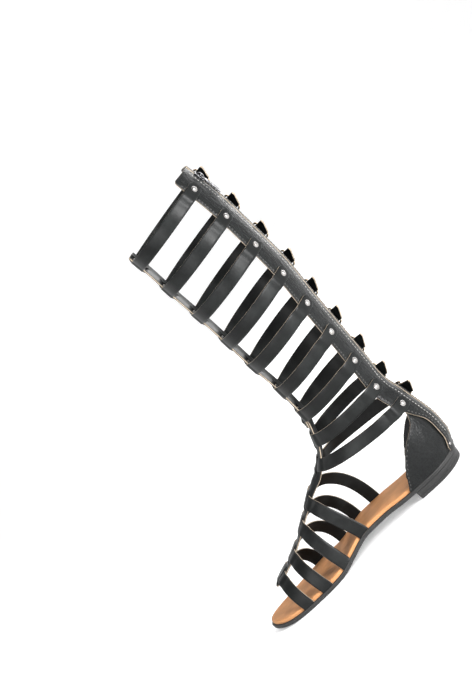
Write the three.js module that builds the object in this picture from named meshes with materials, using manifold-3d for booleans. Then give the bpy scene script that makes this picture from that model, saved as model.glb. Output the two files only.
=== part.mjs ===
// Knee-high gladiator sandal, right shoe, standing empty on its heel and ball.
// Millimetres, +Z up, +Y to the toe, +X to the outer (lateral) side.
// The origin is the middle of the flat bottom of the heel block.

import * as THREE from 'three';
import { mergeVertices } from 'three/addons/utils/BufferGeometryUtils.js';
import Module from 'manifold-3d';

const wasm = await Module();
wasm.setup();

// Driving sizes of the sole
const SOLE_LENGTH = 250;
const BALL_WIDTH = 87;
const HEEL_WIDTH = 60;
const HEEL_HEIGHT = 9;
const HEEL_BLOCK_LENGTH = 53;
const HEEL_TAPER = 1.6;
const SOLE_THICK = 4;
const INSOLE_THICK = 3.5;
const LEDGE = 2.5;
const TOE_SPRING = 4.5;
const EDGE_ROUND = 0.8;

// Driving sizes of the upper
const SHAFT_HEIGHT = 373;
const CALF_DEPTH = 96;
const CALF_WIDTH = 97;
const STRAP_WIDTH = 13;
const STRAP_THICK = 1.6;
const STRIP_WIDTH = 25;
const TOE_STRIP_WIDTH = 20;
const STRIP_THICK = 1.7;
const SLIT_SPREAD = 11;
const BACK_WIDTH = 30;
const BACK_THICK = 1.8;
const COUNTER_THICK = 1.6;
const COUNTER_HEIGHT = 84;
const COUNTER_LENGTH = 57;
const COUNTER_FROM_ZIP = 1.5;
const COUNTER_LEAST = 2;
const COUNTER_COLUMNS = 8;
const BACK_COLUMNS = 4;
const BACK_CORNER = 4;
const INSTEP_SQUARENESS = 2.2;

// Fastenings
const RIVET_RADIUS = 3.1;
const RIVET_DOME = 1.7;
const SHANK_RADIUS = 1.3;
const WASHER_THICK = 0.6;
const RIVET_HOLE_DEPTH = 16;
const RIVET_IN = 6.5;
const STRAP_PAST_RIVET = 6;
const BUCKLE_LENGTH = 15;
const BUCKLE_HEIGHT = 17;
const BUCKLE_CORNER = 2.2;
const WIRE_RADIUS = 0.95;
const BAR_RADIUS = 0.7;
const PRONG_RADIUS = 0.65;
const BUCKLE_IN = 5;
const TAB_THICK = 0.9;
const TAB_LENGTH = 11;
const TAB_WIDTH = 11;
const TAB_SLOT = 3.2;
const TAIL_LENGTH = 14;
const TAIL_TIP = 7;
const TAIL_SPLAY = 9;
const STUD_RADIUS = 1.5;
const ZIP_OPENING = 8;
const ZIP_BOTTOM = 24;
const ZIP_TOP_MARGIN = 4;
const TAPE_WIDTH = 24;
const TAPE_THICK = 0.8;
const TEETH_WIDTH = 5.2;
const TEETH_HEIGHT = 1.2;
const SLIDER_LENGTH = 11;
const SLIDER_THICK = 1.5;
const BRIDGE_RISE = 3.4;
const BRIDGE_WIDTH = 2.2;
const BRIDGE_LENGTH = 8;
const BRIDGE_POST = 1.2;
const BRIDGE_THICK = 1;
const PIN_RADIUS = 0.6;
const PIN_SIDES = 16;
const PULL_LENGTH = 24;
const PULL_WIDTH = 7;
const PULL_THICK = 1.2;
const PULL_ARM = 1.2;
const PULL_PAST_BRIDGE = 1.5;

// Easing of strap and strip where they pass through, over or under one another
const SLIT_EDGE = 0.7;
const SLIT_RAMP = 1.2;
const HUMP_RAMP = 5;
const COUNTER_RAMP = 16;
const STRAP_STEP = 13;
const STRAP_CLOSE_STEP = 6;
const STRIP_ROW_STEP = 3;
const BACK_CLOSE_STEP = 7;
const BACK_STEP = 19;

// Clearance between neighbouring pieces, and the overlap where two strips are one piece
const GAP = 0.3;
const FUSE = 0.25;

// How far a cut face may be from flat when its small triangles are merged
const FLATNESS = 0.05;

// Places that follow from the sizes
const HEEL_CENTRE = HEEL_BLOCK_LENGTH / 2;
const SEAT = HEEL_HEIGHT + SOLE_THICK;
const SHAFT_RISE = SHAFT_HEIGHT - SEAT;
const BAR_LIFT = BACK_THICK + GAP + TAB_THICK + GAP + BAR_RADIUS;
const STRAP_OVER_BAR = BAR_LIFT + BAR_RADIUS + GAP + TAB_THICK + GAP;
const STRAP_UNDER_RAIL = BACK_THICK + GAP + TAB_THICK + GAP / 2;
const RAIL_LIFT = STRAP_UNDER_RAIL + STRAP_THICK + GAP + WIRE_RADIUS;
const COUNTER_STEP = COUNTER_THICK + 2 * GAP;
const SLIDER_HEIGHT = SHAFT_HEIGHT - ZIP_TOP_MARGIN - SLIDER_LENGTH;
const SLIDER_WIDTH = ZIP_OPENING - 2 * GAP;
const SLIDER_BASE = TEETH_HEIGHT + GAP;
const SLIDER_TOP = SLIDER_BASE + SLIDER_THICK;
const PIN_LIFT = SLIDER_TOP + 1.5 * GAP + PIN_RADIUS;

// Sole seen from above: place along the length, middle line and half width
// along as a share of SOLE_LENGTH, the rest as shares of BALL_WIDTH
const SOLE_PLAN = [
  { along: 0.0, middle: 0.0, half: 0.345 },
  { along: 0.12, middle: 0.0, half: 0.345 },
  { along: 0.25, middle: 0.012, half: 0.328 },
  { along: 0.36, middle: 0.045, half: 0.311 },
  { along: 0.45, middle: 0.055, half: 0.322 },
  { along: 0.55, middle: 0.04, half: 0.39 },
  { along: 0.63, middle: 0.015, half: 0.465 },
  { along: 0.7, middle: -0.005, half: 0.5 },
  { along: 0.78, middle: -0.03, half: 0.48 },
  { along: 0.88, middle: -0.07, half: 0.41 },
  { along: 1.0, middle: -0.11, half: 0.34 },
];
const HEEL_ROUND = HEEL_WIDTH / 2 / SOLE_LENGTH;
const TOE_ROUND = 0.15;

// Underside of the outsole: shares of HEEL_HEIGHT and TOE_SPRING
const SOLE_PROFILE = [
  { along: 0.0, heel: 1.0, spring: 0.0 },
  { along: 0.25, heel: 1.0, spring: 0.0 },
  { along: 0.36, heel: 1.12, spring: 0.0 },
  { along: 0.46, heel: 1.1, spring: 0.0 },
  { along: 0.55, heel: 0.55, spring: 0.0 },
  { along: 0.61, heel: 0.1, spring: 0.0 },
  { along: 0.64, heel: 0.0, spring: 0.0 },
  { along: 0.82, heel: 0.0, spring: 0.0 },
  { along: 0.91, heel: 0.0, spring: 0.22 },
  { along: 1.0, heel: 0.0, spring: 1.0 },
];

// Sections of the leg form above the seat, from the heel up to the calf
// up: share of SHAFT_RISE; back: share of SOLE_LENGTH; depth: share of CALF_DEPTH
// belly: where along the depth the form is widest; heel and calf: shares of those widths, halved
const LAST = [
  { up: 0.047, back: -0.017, depth: 1.56, belly: 0.25, heel: 1.03, calf: 0 },
  { up: 0.089, back: -0.022, depth: 1.51, belly: 0.26, heel: 1.06, calf: 0 },
  { up: 0.131, back: -0.016, depth: 1.46, belly: 0.27, heel: 1.08, calf: 0 },
  { up: 0.178, back: -0.006, depth: 1.307, belly: 0.33, heel: 0.56, calf: 0.355 },
  { up: 0.208, back: -0.001, depth: 1.066, belly: 0.38, heel: 0.3, calf: 0.51 },
  { up: 0.261, back: 0.002, depth: 0.911, belly: 0.43, heel: 0, calf: 0.68 },
  { up: 0.328, back: -0.01, depth: 0.844, belly: 0.46, heel: 0, calf: 0.71 },
  { up: 0.422, back: -0.026, depth: 0.859, belly: 0.47, heel: 0, calf: 0.79 },
  { up: 0.519, back: -0.042, depth: 0.911, belly: 0.47, heel: 0, calf: 0.876 },
  { up: 0.686, back: -0.07, depth: 0.985, belly: 0.47, heel: 0, calf: 0.98 },
  { up: 0.853, back: -0.074, depth: 1.016, belly: 0.47, heel: 0, calf: 1.0 },
  { up: 1.0, back: -0.06, depth: 1.01, belly: 0.48, heel: 0, calf: 0.99 },
];

// Top of the instep from the ankle to the toes: shares of SOLE_LENGTH and SHAFT_RISE,
// and how far the crown leans to the inner side as a share of BALL_WIDTH
const ANKLE_FRONT = 0.409;
const INSTEP = [
  { along: 0.352, up: 0.261, crown: 0.0 },
  { along: 0.409, up: 0.208, crown: 0.0 },
  { along: 0.484, up: 0.183, crown: -0.01 },
  { along: 0.544, up: 0.158, crown: -0.025 },
  { along: 0.628, up: 0.122, crown: -0.055 },
  { along: 0.732, up: 0.084, crown: -0.1 },
  { along: 0.82, up: 0.0635, crown: -0.14 },
  { along: 0.9, up: 0.05, crown: -0.165 },
];

// Front edge of the heel counter: shares of COUNTER_HEIGHT and COUNTER_LENGTH
const COUNTER_EDGE = [
  { up: 0.0, along: 0.985 },
  { up: 0.25, along: 0.78 },
  { up: 0.515, along: 0.455 },
  { up: 0.69, along: 0.15 },
  { up: 1.0, along: 0.035 },
];

// Width of a back strip, as a share of BACK_WIDTH, going up the shaft
const BACK_PLAN = [
  { up: 0.0, width: 0.36 },
  { up: 0.1, width: 0.4 },
  { up: 0.15, width: 0.62 },
  { up: 0.2, width: 0.8 },
  { up: 0.4, width: 0.9 },
  { up: 0.7, width: 1.0 },
  { up: 1.0, width: 1.0 },
];

// Shaft straps from the top down: height at the back and at the front, shares of SHAFT_RISE
const SHAFT_STRAPS = [
  { back: 0.953, front: 0.916, ladder: 'shaft' },
  { back: 0.85, front: 0.814, ladder: 'shaft' },
  { back: 0.747, front: 0.711, ladder: 'shaft' },
  { back: 0.647, front: 0.611, ladder: 'shaft' },
  { back: 0.55, front: 0.517, ladder: 'shaft' },
  { back: 0.453, front: 0.42, ladder: 'shaft' },
  { back: 0.356, front: 0.336, ladder: 'shaft' },
  { back: 0.264, front: 0.264, ladder: 'instep' },
  { back: 0.18, front: 0.207, ladder: 'instep' },
];
const JOINT_UP = 0.297;
const JOINT_LAP = 6.5;
const FRONT_TOP = 0.945;
const TOE_STRIP_END = 0.862;

// Foot straps from the ankle to the toes: shares of SOLE_LENGTH
const FOOT_STRAPS = [
  { medial: 0.468, crossing: 0.544, lateral: 0.396 },
  { medial: 0.592, crossing: 0.628, lateral: 0.5 },
  { medial: 0.7, crossing: 0.732, lateral: 0.608 },
  { medial: 0.8, crossing: 0.82, lateral: 0.744 },
];

const UP = new THREE.Vector3(0, 0, 1);
const MEDIAL = -1;
const LATERAL = 1;

// Small helpers

function point(x, y, z) {
  return new THREE.Vector3(x, y, z);
}

function blend(low, high, at) {
  const t = THREE.MathUtils.clamp((at - low) / (high - low), 0, 1);
  return t * t * (3 - 2 * t);
}

// One column of a table read at a place between its rows, smoothly and without overshoot
function read(rows, key, column, at) {
  const last = rows.length - 1;
  let i = 1;
  while (i < last && rows[i][key] < at) i += 1;
  const secant = (j) => (rows[j + 1][column] - rows[j][column]) / (rows[j + 1][key] - rows[j][key]);
  const slope = (j) => {
    if (j === 0) return secant(0);
    if (j === last) return secant(last - 1);
    const before = secant(j - 1);
    const after = secant(j);
    return before * after <= 0 ? 0 : (2 * before * after) / (before + after);
  };
  const span = rows[i][key] - rows[i - 1][key];
  const t = THREE.MathUtils.clamp((at - rows[i - 1][key]) / span, 0, 1);
  const low = rows[i - 1][column];
  const high = rows[i][column];
  const rise = t * t * (3 - 2 * t);
  const leave = t * (1 - t) * (1 - t) * span * slope(i - 1);
  const arrive = -t * t * (1 - t) * span * slope(i);
  return low + (high - low) * rise + leave + arrive;
}

// Evenly spaced values from one number to another, both included
function spread(from, to, step) {
  const count = Math.max(1, Math.round(Math.abs(to - from) / step));
  return Array.from({ length: count + 1 }, (_, i) => from + ((to - from) * i) / count);
}

// Closed mesh from triangles given as lists of points
function closedGeometry(triangles) {
  const raw = new THREE.BufferGeometry();
  const numbers = triangles.flat().flatMap((corner) => corner.toArray());
  raw.setAttribute('position', new THREE.Float32BufferAttribute(numbers, 3));
  const merged = mergeVertices(raw, 1e-4);
  const kept = [];
  const index = merged.index.array;
  for (let i = 0; i < index.length; i += 3) {
    const [a, b, c] = [index[i], index[i + 1], index[i + 2]];
    if (a !== b && b !== c && a !== c) kept.push(a, b, c);
  }
  merged.setIndex(facingOut(merged.attributes.position, kept));
  return merged;
}

// The triangles as they are where they face out, else all turned round
function facingOut(place, index) {
  const [a, b, c] = [point(0, 0, 0), point(0, 0, 0), point(0, 0, 0)];
  let volume = 0;
  for (let i = 0; i < index.length; i += 3) {
    a.fromBufferAttribute(place, index[i]);
    b.fromBufferAttribute(place, index[i + 1]);
    c.fromBufferAttribute(place, index[i + 2]);
    volume += a.dot(b.cross(c));
  }
  return volume < 0 ? [...index].reverse() : index;
}

function quad(a, b, c, d) {
  return [[a, b, c], [a, c, d]];
}

// Sheet of a real thickness: grid[row][column] holds an inner and an outer point
function sheet(grid) {
  const faces = [];
  const rows = grid.length - 1;
  const columns = grid[0].length - 1;
  for (let i = 0; i < rows; i += 1) {
    for (let j = 0; j < columns; j += 1) {
      const [a, b, c, d] = [grid[i][j], grid[i + 1][j], grid[i + 1][j + 1], grid[i][j + 1]];
      faces.push(...quad(a.outer, b.outer, c.outer, d.outer));
      faces.push(...quad(d.inner, c.inner, b.inner, a.inner));
    }
    const [a, b] = [grid[i][0], grid[i + 1][0]];
    const [c, d] = [grid[i][columns], grid[i + 1][columns]];
    faces.push(...quad(a.inner, b.inner, b.outer, a.outer));
    faces.push(...quad(c.outer, d.outer, d.inner, c.inner));
  }
  for (let j = 0; j < columns; j += 1) {
    const [a, b] = [grid[0][j], grid[0][j + 1]];
    const [c, d] = [grid[rows][j], grid[rows][j + 1]];
    faces.push(...quad(a.outer, b.outer, b.inner, a.inner));
    faces.push(...quad(c.inner, d.inner, d.outer, c.outer));
  }
  return closedGeometry(faces);
}

// Round bar along a list of points; its ends are closed, or it runs round as a loop
function bar(points, radius, sides, loop) {
  const rings = points.map((at, i) => {
    const before = points[loop ? (i + points.length - 1) % points.length : Math.max(i - 1, 0)];
    const after = points[loop ? (i + 1) % points.length : Math.min(i + 1, points.length - 1)];
    const along = after.clone().sub(before).normalize();
    const side = Math.abs(along.z) > 0.9 ? point(1, 0, 0) : UP.clone();
    const across = side.cross(along).normalize();
    const over = along.clone().cross(across);
    return Array.from({ length: sides }, (_, k) => {
      const turn = (k / sides) * 2 * Math.PI;
      return at.clone()
        .addScaledVector(across, radius * Math.cos(turn))
        .addScaledVector(over, radius * Math.sin(turn));
    });
  });
  const faces = [];
  const stretches = loop ? points.length : points.length - 1;
  for (let i = 0; i < stretches; i += 1) {
    const here = rings[i];
    const next = rings[(i + 1) % points.length];
    for (let k = 0; k < sides; k += 1) {
      const l = (k + 1) % sides;
      faces.push(...quad(here[k], here[l], next[l], next[k]));
    }
  }
  if (!loop) {
    const end = rings[rings.length - 1];
    for (let k = 1; k < sides - 1; k += 1) {
      faces.push([rings[0][0], rings[0][k + 1], rings[0][k]], [end[0], end[k], end[k + 1]]);
    }
  }
  return closedGeometry(faces);
}

// Solids that are joined and cut

function toSolid(geometry) {
  const bare = geometry.clone();
  bare.deleteAttribute('normal');
  bare.deleteAttribute('uv');
  const merged = mergeVertices(bare, 1e-4);
  return new wasm.Manifold(new wasm.Mesh({
    numProp: 3,
    vertProperties: new Float32Array(merged.attributes.position.array),
    triVerts: new Uint32Array(merged.index.array),
  }));
}

function toGeometry(solid) {
  const mesh = solid.simplify(FLATNESS).getMesh();
  const geometry = new THREE.BufferGeometry();
  geometry.setAttribute('position', new THREE.BufferAttribute(new Float32Array(mesh.vertProperties), 3));
  geometry.setIndex(new THREE.BufferAttribute(new Uint32Array(mesh.triVerts), 1));
  return geometry;
}

function join(geometries) {
  return geometries.map(toSolid).reduce((whole, next) => whole.add(next));
}

function cut(solid, cutters) {
  return cutters.map(toSolid).reduce((whole, next) => whole.subtract(next), solid);
}

// The sole

function soleHalf(along) {
  const heel = Math.min(1, along / HEEL_ROUND);
  const toe = Math.min(1, (1 - along) / TOE_ROUND);
  const round = Math.sqrt(1 - (1 - heel) ** 2) * Math.sqrt(1 - (1 - toe) ** 2);
  const heelShare = HEEL_WIDTH / (2 * SOLE_PLAN[0].half * BALL_WIDTH);
  const scale = THREE.MathUtils.lerp(heelShare, 1, blend(HEEL_ROUND, ANKLE_FRONT, along));
  return read(SOLE_PLAN, 'along', 'half', along) * BALL_WIDTH * round * scale;
}

// Point of the outline; turn runs from 0 at the heel to 1 at the toe tip
function outlinePoint(turn, side) {
  const along = (1 - Math.cos(turn * Math.PI)) / 2;
  const middle = read(SOLE_PLAN, 'along', 'middle', along) * BALL_WIDTH;
  return point(middle + side * soleHalf(along), along * SOLE_LENGTH - HEEL_CENTRE, 0);
}

function insetOutline(turn, side, inset) {
  const step = 0.004;
  const before = turn > step ? outlinePoint(turn - step, side) : outlinePoint(step - turn, -side);
  const after = turn < 1 - step ? outlinePoint(turn + step, side) : outlinePoint(2 - step - turn, -side);
  const run = after.sub(before).normalize();
  return outlinePoint(turn, side).add(point(-side * run.y, side * run.x, 0).multiplyScalar(inset));
}

function soleUnderside(y) {
  const along = (y + HEEL_CENTRE) / SOLE_LENGTH;
  const heel = read(SOLE_PROFILE, 'along', 'heel', along) * HEEL_HEIGHT;
  return heel + read(SOLE_PROFILE, 'along', 'spring', along) * TOE_SPRING;
}

function soleTop(y) {
  return soleUnderside(y) + SOLE_THICK;
}

// Outer edge of the sole at a place along it, as x; the inset moves it inwards
function soleEdge(y, side, inset) {
  let low = 0;
  let high = 1;
  for (let i = 0; i < 24; i += 1) {
    const middle = (low + high) / 2;
    if (insetOutline(middle, side, inset).y < y) low = middle;
    else high = middle;
  }
  return insetOutline((low + high) / 2, side, inset).x;
}

// Layer of the sole between stacked rings; each ring has an inset and a height for a place y
function soleLayer(rings, turns) {
  const faces = [];
  const corner = (ring, turn, side) => {
    const at = insetOutline(turn, side, ring.inset);
    at.z = ring.height(at.y);
    return at;
  };
  const patch = (...corners) => faces.push(...quad(...corners.map((at) => corner(...at))));
  const [base, top] = [rings[0], rings[rings.length - 1]];
  for (let i = 0; i + 1 < turns.length; i += 1) {
    const [a, b] = [turns[i], turns[i + 1]];
    for (let k = 0; k + 1 < rings.length; k += 1) {
      const [low, high] = [rings[k], rings[k + 1]];
      patch([low, a, LATERAL], [low, b, LATERAL], [high, b, LATERAL], [high, a, LATERAL]);
      patch([high, a, MEDIAL], [high, b, MEDIAL], [low, b, MEDIAL], [low, a, MEDIAL]);
    }
    patch([top, a, MEDIAL], [top, a, LATERAL], [top, b, LATERAL], [top, b, MEDIAL]);
    patch([base, b, MEDIAL], [base, b, LATERAL], [base, a, LATERAL], [base, a, MEDIAL]);
  }
  const end = turns[turns.length - 1];
  for (let k = 0; k + 1 < rings.length; k += 1) {
    const [low, high] = [rings[k], rings[k + 1]];
    patch([low, end, LATERAL], [low, end, MEDIAL], [high, end, MEDIAL], [high, end, LATERAL]);
  }
  return closedGeometry(faces);
}

const SOLE_TURNS = spread(0, 1, 1 / 36);

function outsole() {
  return soleLayer([
    { inset: EDGE_ROUND, height: soleUnderside },
    { inset: 0, height: (y) => soleUnderside(y) + EDGE_ROUND },
    { inset: 0, height: (y) => soleTop(y) - EDGE_ROUND / 2 },
    { inset: EDGE_ROUND / 2, height: soleTop },
  ], SOLE_TURNS);
}

function insole() {
  const base = (y) => soleTop(y) + GAP;
  return soleLayer([
    { inset: LEDGE, height: base },
    { inset: LEDGE, height: (y) => base(y) + INSOLE_THICK - EDGE_ROUND },
    { inset: LEDGE + EDGE_ROUND, height: (y) => base(y) + INSOLE_THICK },
  ], SOLE_TURNS);
}

function heelBlock() {
  const endTurn = Math.acos(1 - (2 * HEEL_BLOCK_LENGTH) / SOLE_LENGTH) / Math.PI;
  return soleLayer([
    { inset: EDGE_ROUND + HEEL_TAPER, height: () => 0 },
    { inset: EDGE_ROUND, height: () => HEEL_HEIGHT - GAP },
  ], spread(0, endTurn, endTurn / 14));
}

// The leg form that the shaft, the back strips and the heel counter lie on

function lastSection(height) {
  const up = (height - SEAT) / SHAFT_RISE;
  const share = (column) => read(LAST, 'up', column, up);
  const back = share('back') * SOLE_LENGTH;
  const depth = share('depth') * CALF_DEPTH;
  const width = (share('heel') * HEEL_WIDTH + share('calf') * CALF_WIDTH) / 2;
  const section = { back, middle: back + depth * share('belly'), front: back + depth, width };
  const toSeat = 1 - blend(0, LAST[0].up, up);
  const seat = {
    back: LEDGE - 2 * GAP,
    middle: HEEL_WIDTH / 2,
    front: section.front,
    width: HEEL_WIDTH / 2 - LEDGE + 2 * GAP,
  };
  for (const name of Object.keys(section)) {
    section[name] = THREE.MathUtils.lerp(section[name], seat[name], toSeat);
  }
  return section;
}

// Angle 0 is the middle of the back, a half turn is the middle of the front
function legPoint(height, angle) {
  const section = lastSection(height);
  const reach = Math.cos(angle) > 0 ? section.middle - section.back : section.front - section.middle;
  const y = section.middle - reach * Math.cos(angle) - HEEL_CENTRE;
  return point(section.width * Math.sin(angle), y, height);
}

function legNormal(height, angle) {
  const step = 0.01;
  const round = legPoint(height, angle + step).sub(legPoint(height, angle - step));
  const rise = legPoint(height + 1, angle).sub(legPoint(height - 1, angle));
  const out = round.cross(rise).normalize();
  out.z *= blend(SEAT, SEAT + INSOLE_THICK * 3, height);
  return out.normalize();
}

// Angle at a distance round the form from the middle of the back
function legAngle(height, distance) {
  const steps = 24;
  let low = 0;
  let high = Math.PI;
  const girth = (to) => {
    let total = 0;
    let last = legPoint(height, 0);
    for (let i = 1; i <= steps; i += 1) {
      const next = legPoint(height, (to * i) / steps);
      total += next.distanceTo(last);
      last = next;
    }
    return total;
  };
  for (let i = 0; i < 16; i += 1) {
    const middle = (low + high) / 2;
    if (girth(middle) < Math.abs(distance)) low = middle;
    else high = middle;
  }
  return ((low + high) / 2) * Math.sign(distance);
}

function legSkin(height, distance) {
  const angle = legAngle(height, distance);
  return { at: legPoint(height, angle), out: legNormal(height, angle) };
}

// Sheet laid on the leg form between two distances from the middle of the back
function legPatch(heights, from, to, columns, inner, outer) {
  return sheet(heights.map((height) => Array.from({ length: columns + 1 }, (_, j) => {
    const distance = THREE.MathUtils.lerp(from(height), to(height), j / columns);
    const skin = legSkin(height, distance);
    return {
      inner: skin.at.clone().addScaledVector(skin.out, inner(height)),
      outer: skin.at.clone().addScaledVector(skin.out, outer(height)),
    };
  })));
}

// The foot form under the instep strip and the foot straps

function instepCrown(along) {
  return point(
    read(INSTEP, 'along', 'crown', along) * BALL_WIDTH,
    along * SOLE_LENGTH - HEEL_CENTRE,
    SEAT + read(INSTEP, 'along', 'up', along) * SHAFT_RISE,
  );
}

// Swing 0 is the medial edge of the sole, a quarter turn the crown, a half turn the lateral edge
function footPoint(along, swing) {
  const crown = instepCrown(along);
  const side = swing < Math.PI / 2 ? MEDIAL : LATERAL;
  const edge = soleEdge(crown.y, side, LEDGE - 2.4 * GAP);
  const power = 2 / INSTEP_SQUARENESS;
  const out = Math.abs(Math.cos(swing)) ** power;
  const rise = Math.abs(Math.sin(swing)) ** power;
  const floor = soleTop(crown.y) + GAP;
  return point(
    THREE.MathUtils.lerp(crown.x, edge, out),
    crown.y,
    THREE.MathUtils.lerp(floor, crown.z, rise),
  );
}

function footNormal(along, swing) {
  const step = 0.02;
  const low = THREE.MathUtils.clamp(swing, step, Math.PI - step);
  const round = footPoint(along, low + step).sub(footPoint(along, low - step));
  const run = footPoint(along + step / 2, low).sub(footPoint(along - step / 2, low));
  const out = round.cross(run).normalize();
  const tilt = blend(0, 0.35, Math.sin(swing));
  out.z *= tilt;
  return out.normalize();
}

// Swing at a distance across the crown, lateral side positive
function footSwing(along, distance) {
  const step = 0.01;
  let swing = Math.PI / 2;
  let total = 0;
  let last = footPoint(along, swing);
  while (total < Math.abs(distance)) {
    swing += step * Math.sign(distance);
    const next = footPoint(along, swing);
    total += next.distanceTo(last);
    last = next;
  }
  return swing;
}

// The line down the middle of the front, from the top of the shaft to the toe tip
function frontLine() {
  const ankleUp = INSTEP[1].up;
  const step = 0.006;
  const shaft = spread(FRONT_TOP, ankleUp, step).map((up) => ({
    at: legPoint(SEAT + up * SHAFT_RISE, Math.PI), onShaft: true,
  }));
  const foot = spread(ANKLE_FRONT + step, TOE_STRIP_END, step).map((along) => ({
    at: instepCrown(along), onShaft: false,
  }));
  return [...shaft, ...foot];
}

// A point of the front strip at a distance across it, with the way out from the leg or foot
function frontSkin(stop, across) {
  const height = stop.at.z;
  const along = (stop.at.y + HEEL_CENTRE) / SOLE_LENGTH;
  const onFoot = blend(ANKLE_FRONT - 0.03, ANKLE_FRONT + 0.05, along);
  const skin = { at: point(0, 0, 0), out: point(0, 0, 0) };
  if (onFoot < 1) {
    const angle = Math.PI - across / lastSection(height).width;
    skin.at.addScaledVector(legPoint(height, angle), 1 - onFoot);
    skin.out.addScaledVector(legNormal(height, angle), 1 - onFoot);
  }
  if (onFoot > 0) {
    const swing = footSwing(along, across);
    skin.at.addScaledVector(footPoint(along, swing), onFoot);
    skin.out.addScaledVector(footNormal(along, swing), onFoot);
  }
  skin.out.normalize();
  return skin;
}

// Front strips: a flat strip whose middle, between two slits, is raised over every strap

function nearestCrossing(stop, crossings) {
  return Math.min(...crossings.map((crossing) => crossing.distanceTo(stop.at)));
}

function frontStrip(stops, crossings, widthAt, lift) {
  const grid = stops.map((stop) => {
    const half = widthAt(stop) / 2;
    const slit = SLIT_SPREAD / 2;
    const away = nearestCrossing(stop, crossings) - STRAP_WIDTH / 2;
    const hump = 1 - blend(0, HUMP_RAMP, away);
    const columns = [-half, -slit - SLIT_EDGE, -slit, slit, slit + SLIT_EDGE, half];
    return columns.map((across) => {
      const raised = Math.abs(across) <= slit ? (STRAP_THICK - FUSE) * hump : 0;
      const skin = frontSkin(stop, across);
      return {
        inner: skin.at.clone().addScaledVector(skin.out, raised + lift(stop)),
        outer: skin.at.clone().addScaledVector(skin.out, raised + lift(stop) + STRIP_THICK),
      };
    });
  });
  return sheet(grid.map((row) => [...row].reverse()));
}

// Straps

// How far a strap lies off the form where it passes through the front strip
function weaveLift(distance, half) {
  const slit = SLIT_SPREAD / 2;
  const over = STRIP_THICK - FUSE;
  const out = blend(slit - SLIT_RAMP, slit + SLIT_RAMP, Math.abs(distance));
  return over * out * (1 - blend(half + GAP, half + HUMP_RAMP, Math.abs(distance)));
}

// Path of a shaft strap round the leg, from the medial back to the lateral back
function shaftPath(strap) {
  const front = SEAT + strap.front * SHAFT_RISE;
  const back = SEAT + strap.back * SHAFT_RISE;
  const yFront = legPoint(front, Math.PI).y;
  const yBack = legPoint(back, 0).y;
  const heightAt = (y) => front + ((back - front) * (yFront - y)) / (yFront - yBack);
  const path = [];
  for (const angle of spread(0, -2 * Math.PI, Math.PI / 90)) {
    let height = front;
    for (let i = 0; i < 6; i += 1) height = heightAt(legPoint(height, angle).y);
    path.push({ at: legPoint(height, angle), out: legNormal(height, angle), far: 0 });
  }
  const middle = (path.length - 1) / 2;
  for (let i = middle + 1; i < path.length; i += 1) {
    path[i].far = path[i - 1].far + path[i].at.distanceTo(path[i - 1].at);
  }
  for (let i = middle - 1; i >= 0; i -= 1) {
    path[i].far = path[i + 1].far - path[i].at.distanceTo(path[i + 1].at);
  }
  return path;
}

function pathAt(path, far) {
  let i = 1;
  while (i < path.length - 1 && path[i].far < far) i += 1;
  const t = THREE.MathUtils.clamp((far - path[i - 1].far) / (path[i].far - path[i - 1].far), 0, 1);
  const along = path[i].at.clone().sub(path[i - 1].at).normalize();
  const at = path[i - 1].at.clone().lerp(path[i].at, t);
  const out = path[i - 1].out.clone().lerp(path[i].out, t).normalize();
  const up = along.clone().cross(out).normalize();
  return { at, along: out.clone().cross(up).normalize(), out, up };
}

// Cross-section rows of a strap; each stop has a place, a lift and its two edges
function strapSheet(rows) {
  return sheet(rows.map((row) => [row.low, row.high].map((edge) => {
    const base = row.at.clone().addScaledVector(row.up, edge);
    return {
      inner: base.clone().addScaledVector(row.out, row.lift),
      outer: base.clone().addScaledVector(row.out, row.lift + STRAP_THICK),
    };
  })));
}

function backWidth(height) {
  return read(BACK_PLAN, 'up', 'width', (height - SEAT) / SHAFT_RISE) * BACK_WIDTH;
}

function backEdge(height) {
  return ZIP_OPENING / 2 + backWidth(height);
}

// The strip and the straps rise over the top of the heel counter
function heelStep(height) {
  return COUNTER_STEP * (1 - blend(COUNTER_HEIGHT, COUNTER_HEIGHT + COUNTER_RAMP, height));
}

// Where the rivet and the buckle of a strap sit on its path
function fastenings(strap) {
  const path = shaftPath(strap);
  const height = SEAT + strap.back * SHAFT_RISE;
  const toBack = path[path.length - 1].far;
  return {
    path,
    height,
    rivet: -(toBack - backEdge(height) + RIVET_IN),
    edge: toBack - backEdge(height),
    bar: toBack - backEdge(height) + BUCKLE_IN,
    step: heelStep(height),
  };
}

// Lift of a shaft strap over the back strip, the tab and the buckle bar
function fasteningLift(place, far) {
  const over = BACK_THICK + 2 * GAP + place.step;
  if (far < 0) return over * blend(place.edge - 12, place.edge - 4, -far);
  const fromBar = Math.abs(far - place.bar);
  const rail = BUCKLE_LENGTH / 2;
  const low = (STRAP_UNDER_RAIL + place.step) * blend(place.bar - rail - 14, place.bar - rail - 3, far);
  return low + (STRAP_OVER_BAR - STRAP_UNDER_RAIL) * (1 - blend(1.6, rail - 1.6, fromBar));
}

// Where a strap changes as it dives through the two slits of a front strip
function weaveStops(strip) {
  const slit = SLIT_SPREAD / 2;
  return [-strip, -slit - SLIT_RAMP, -slit + SLIT_RAMP, 0, slit - SLIT_RAMP, slit + SLIT_RAMP, strip];
}

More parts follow.
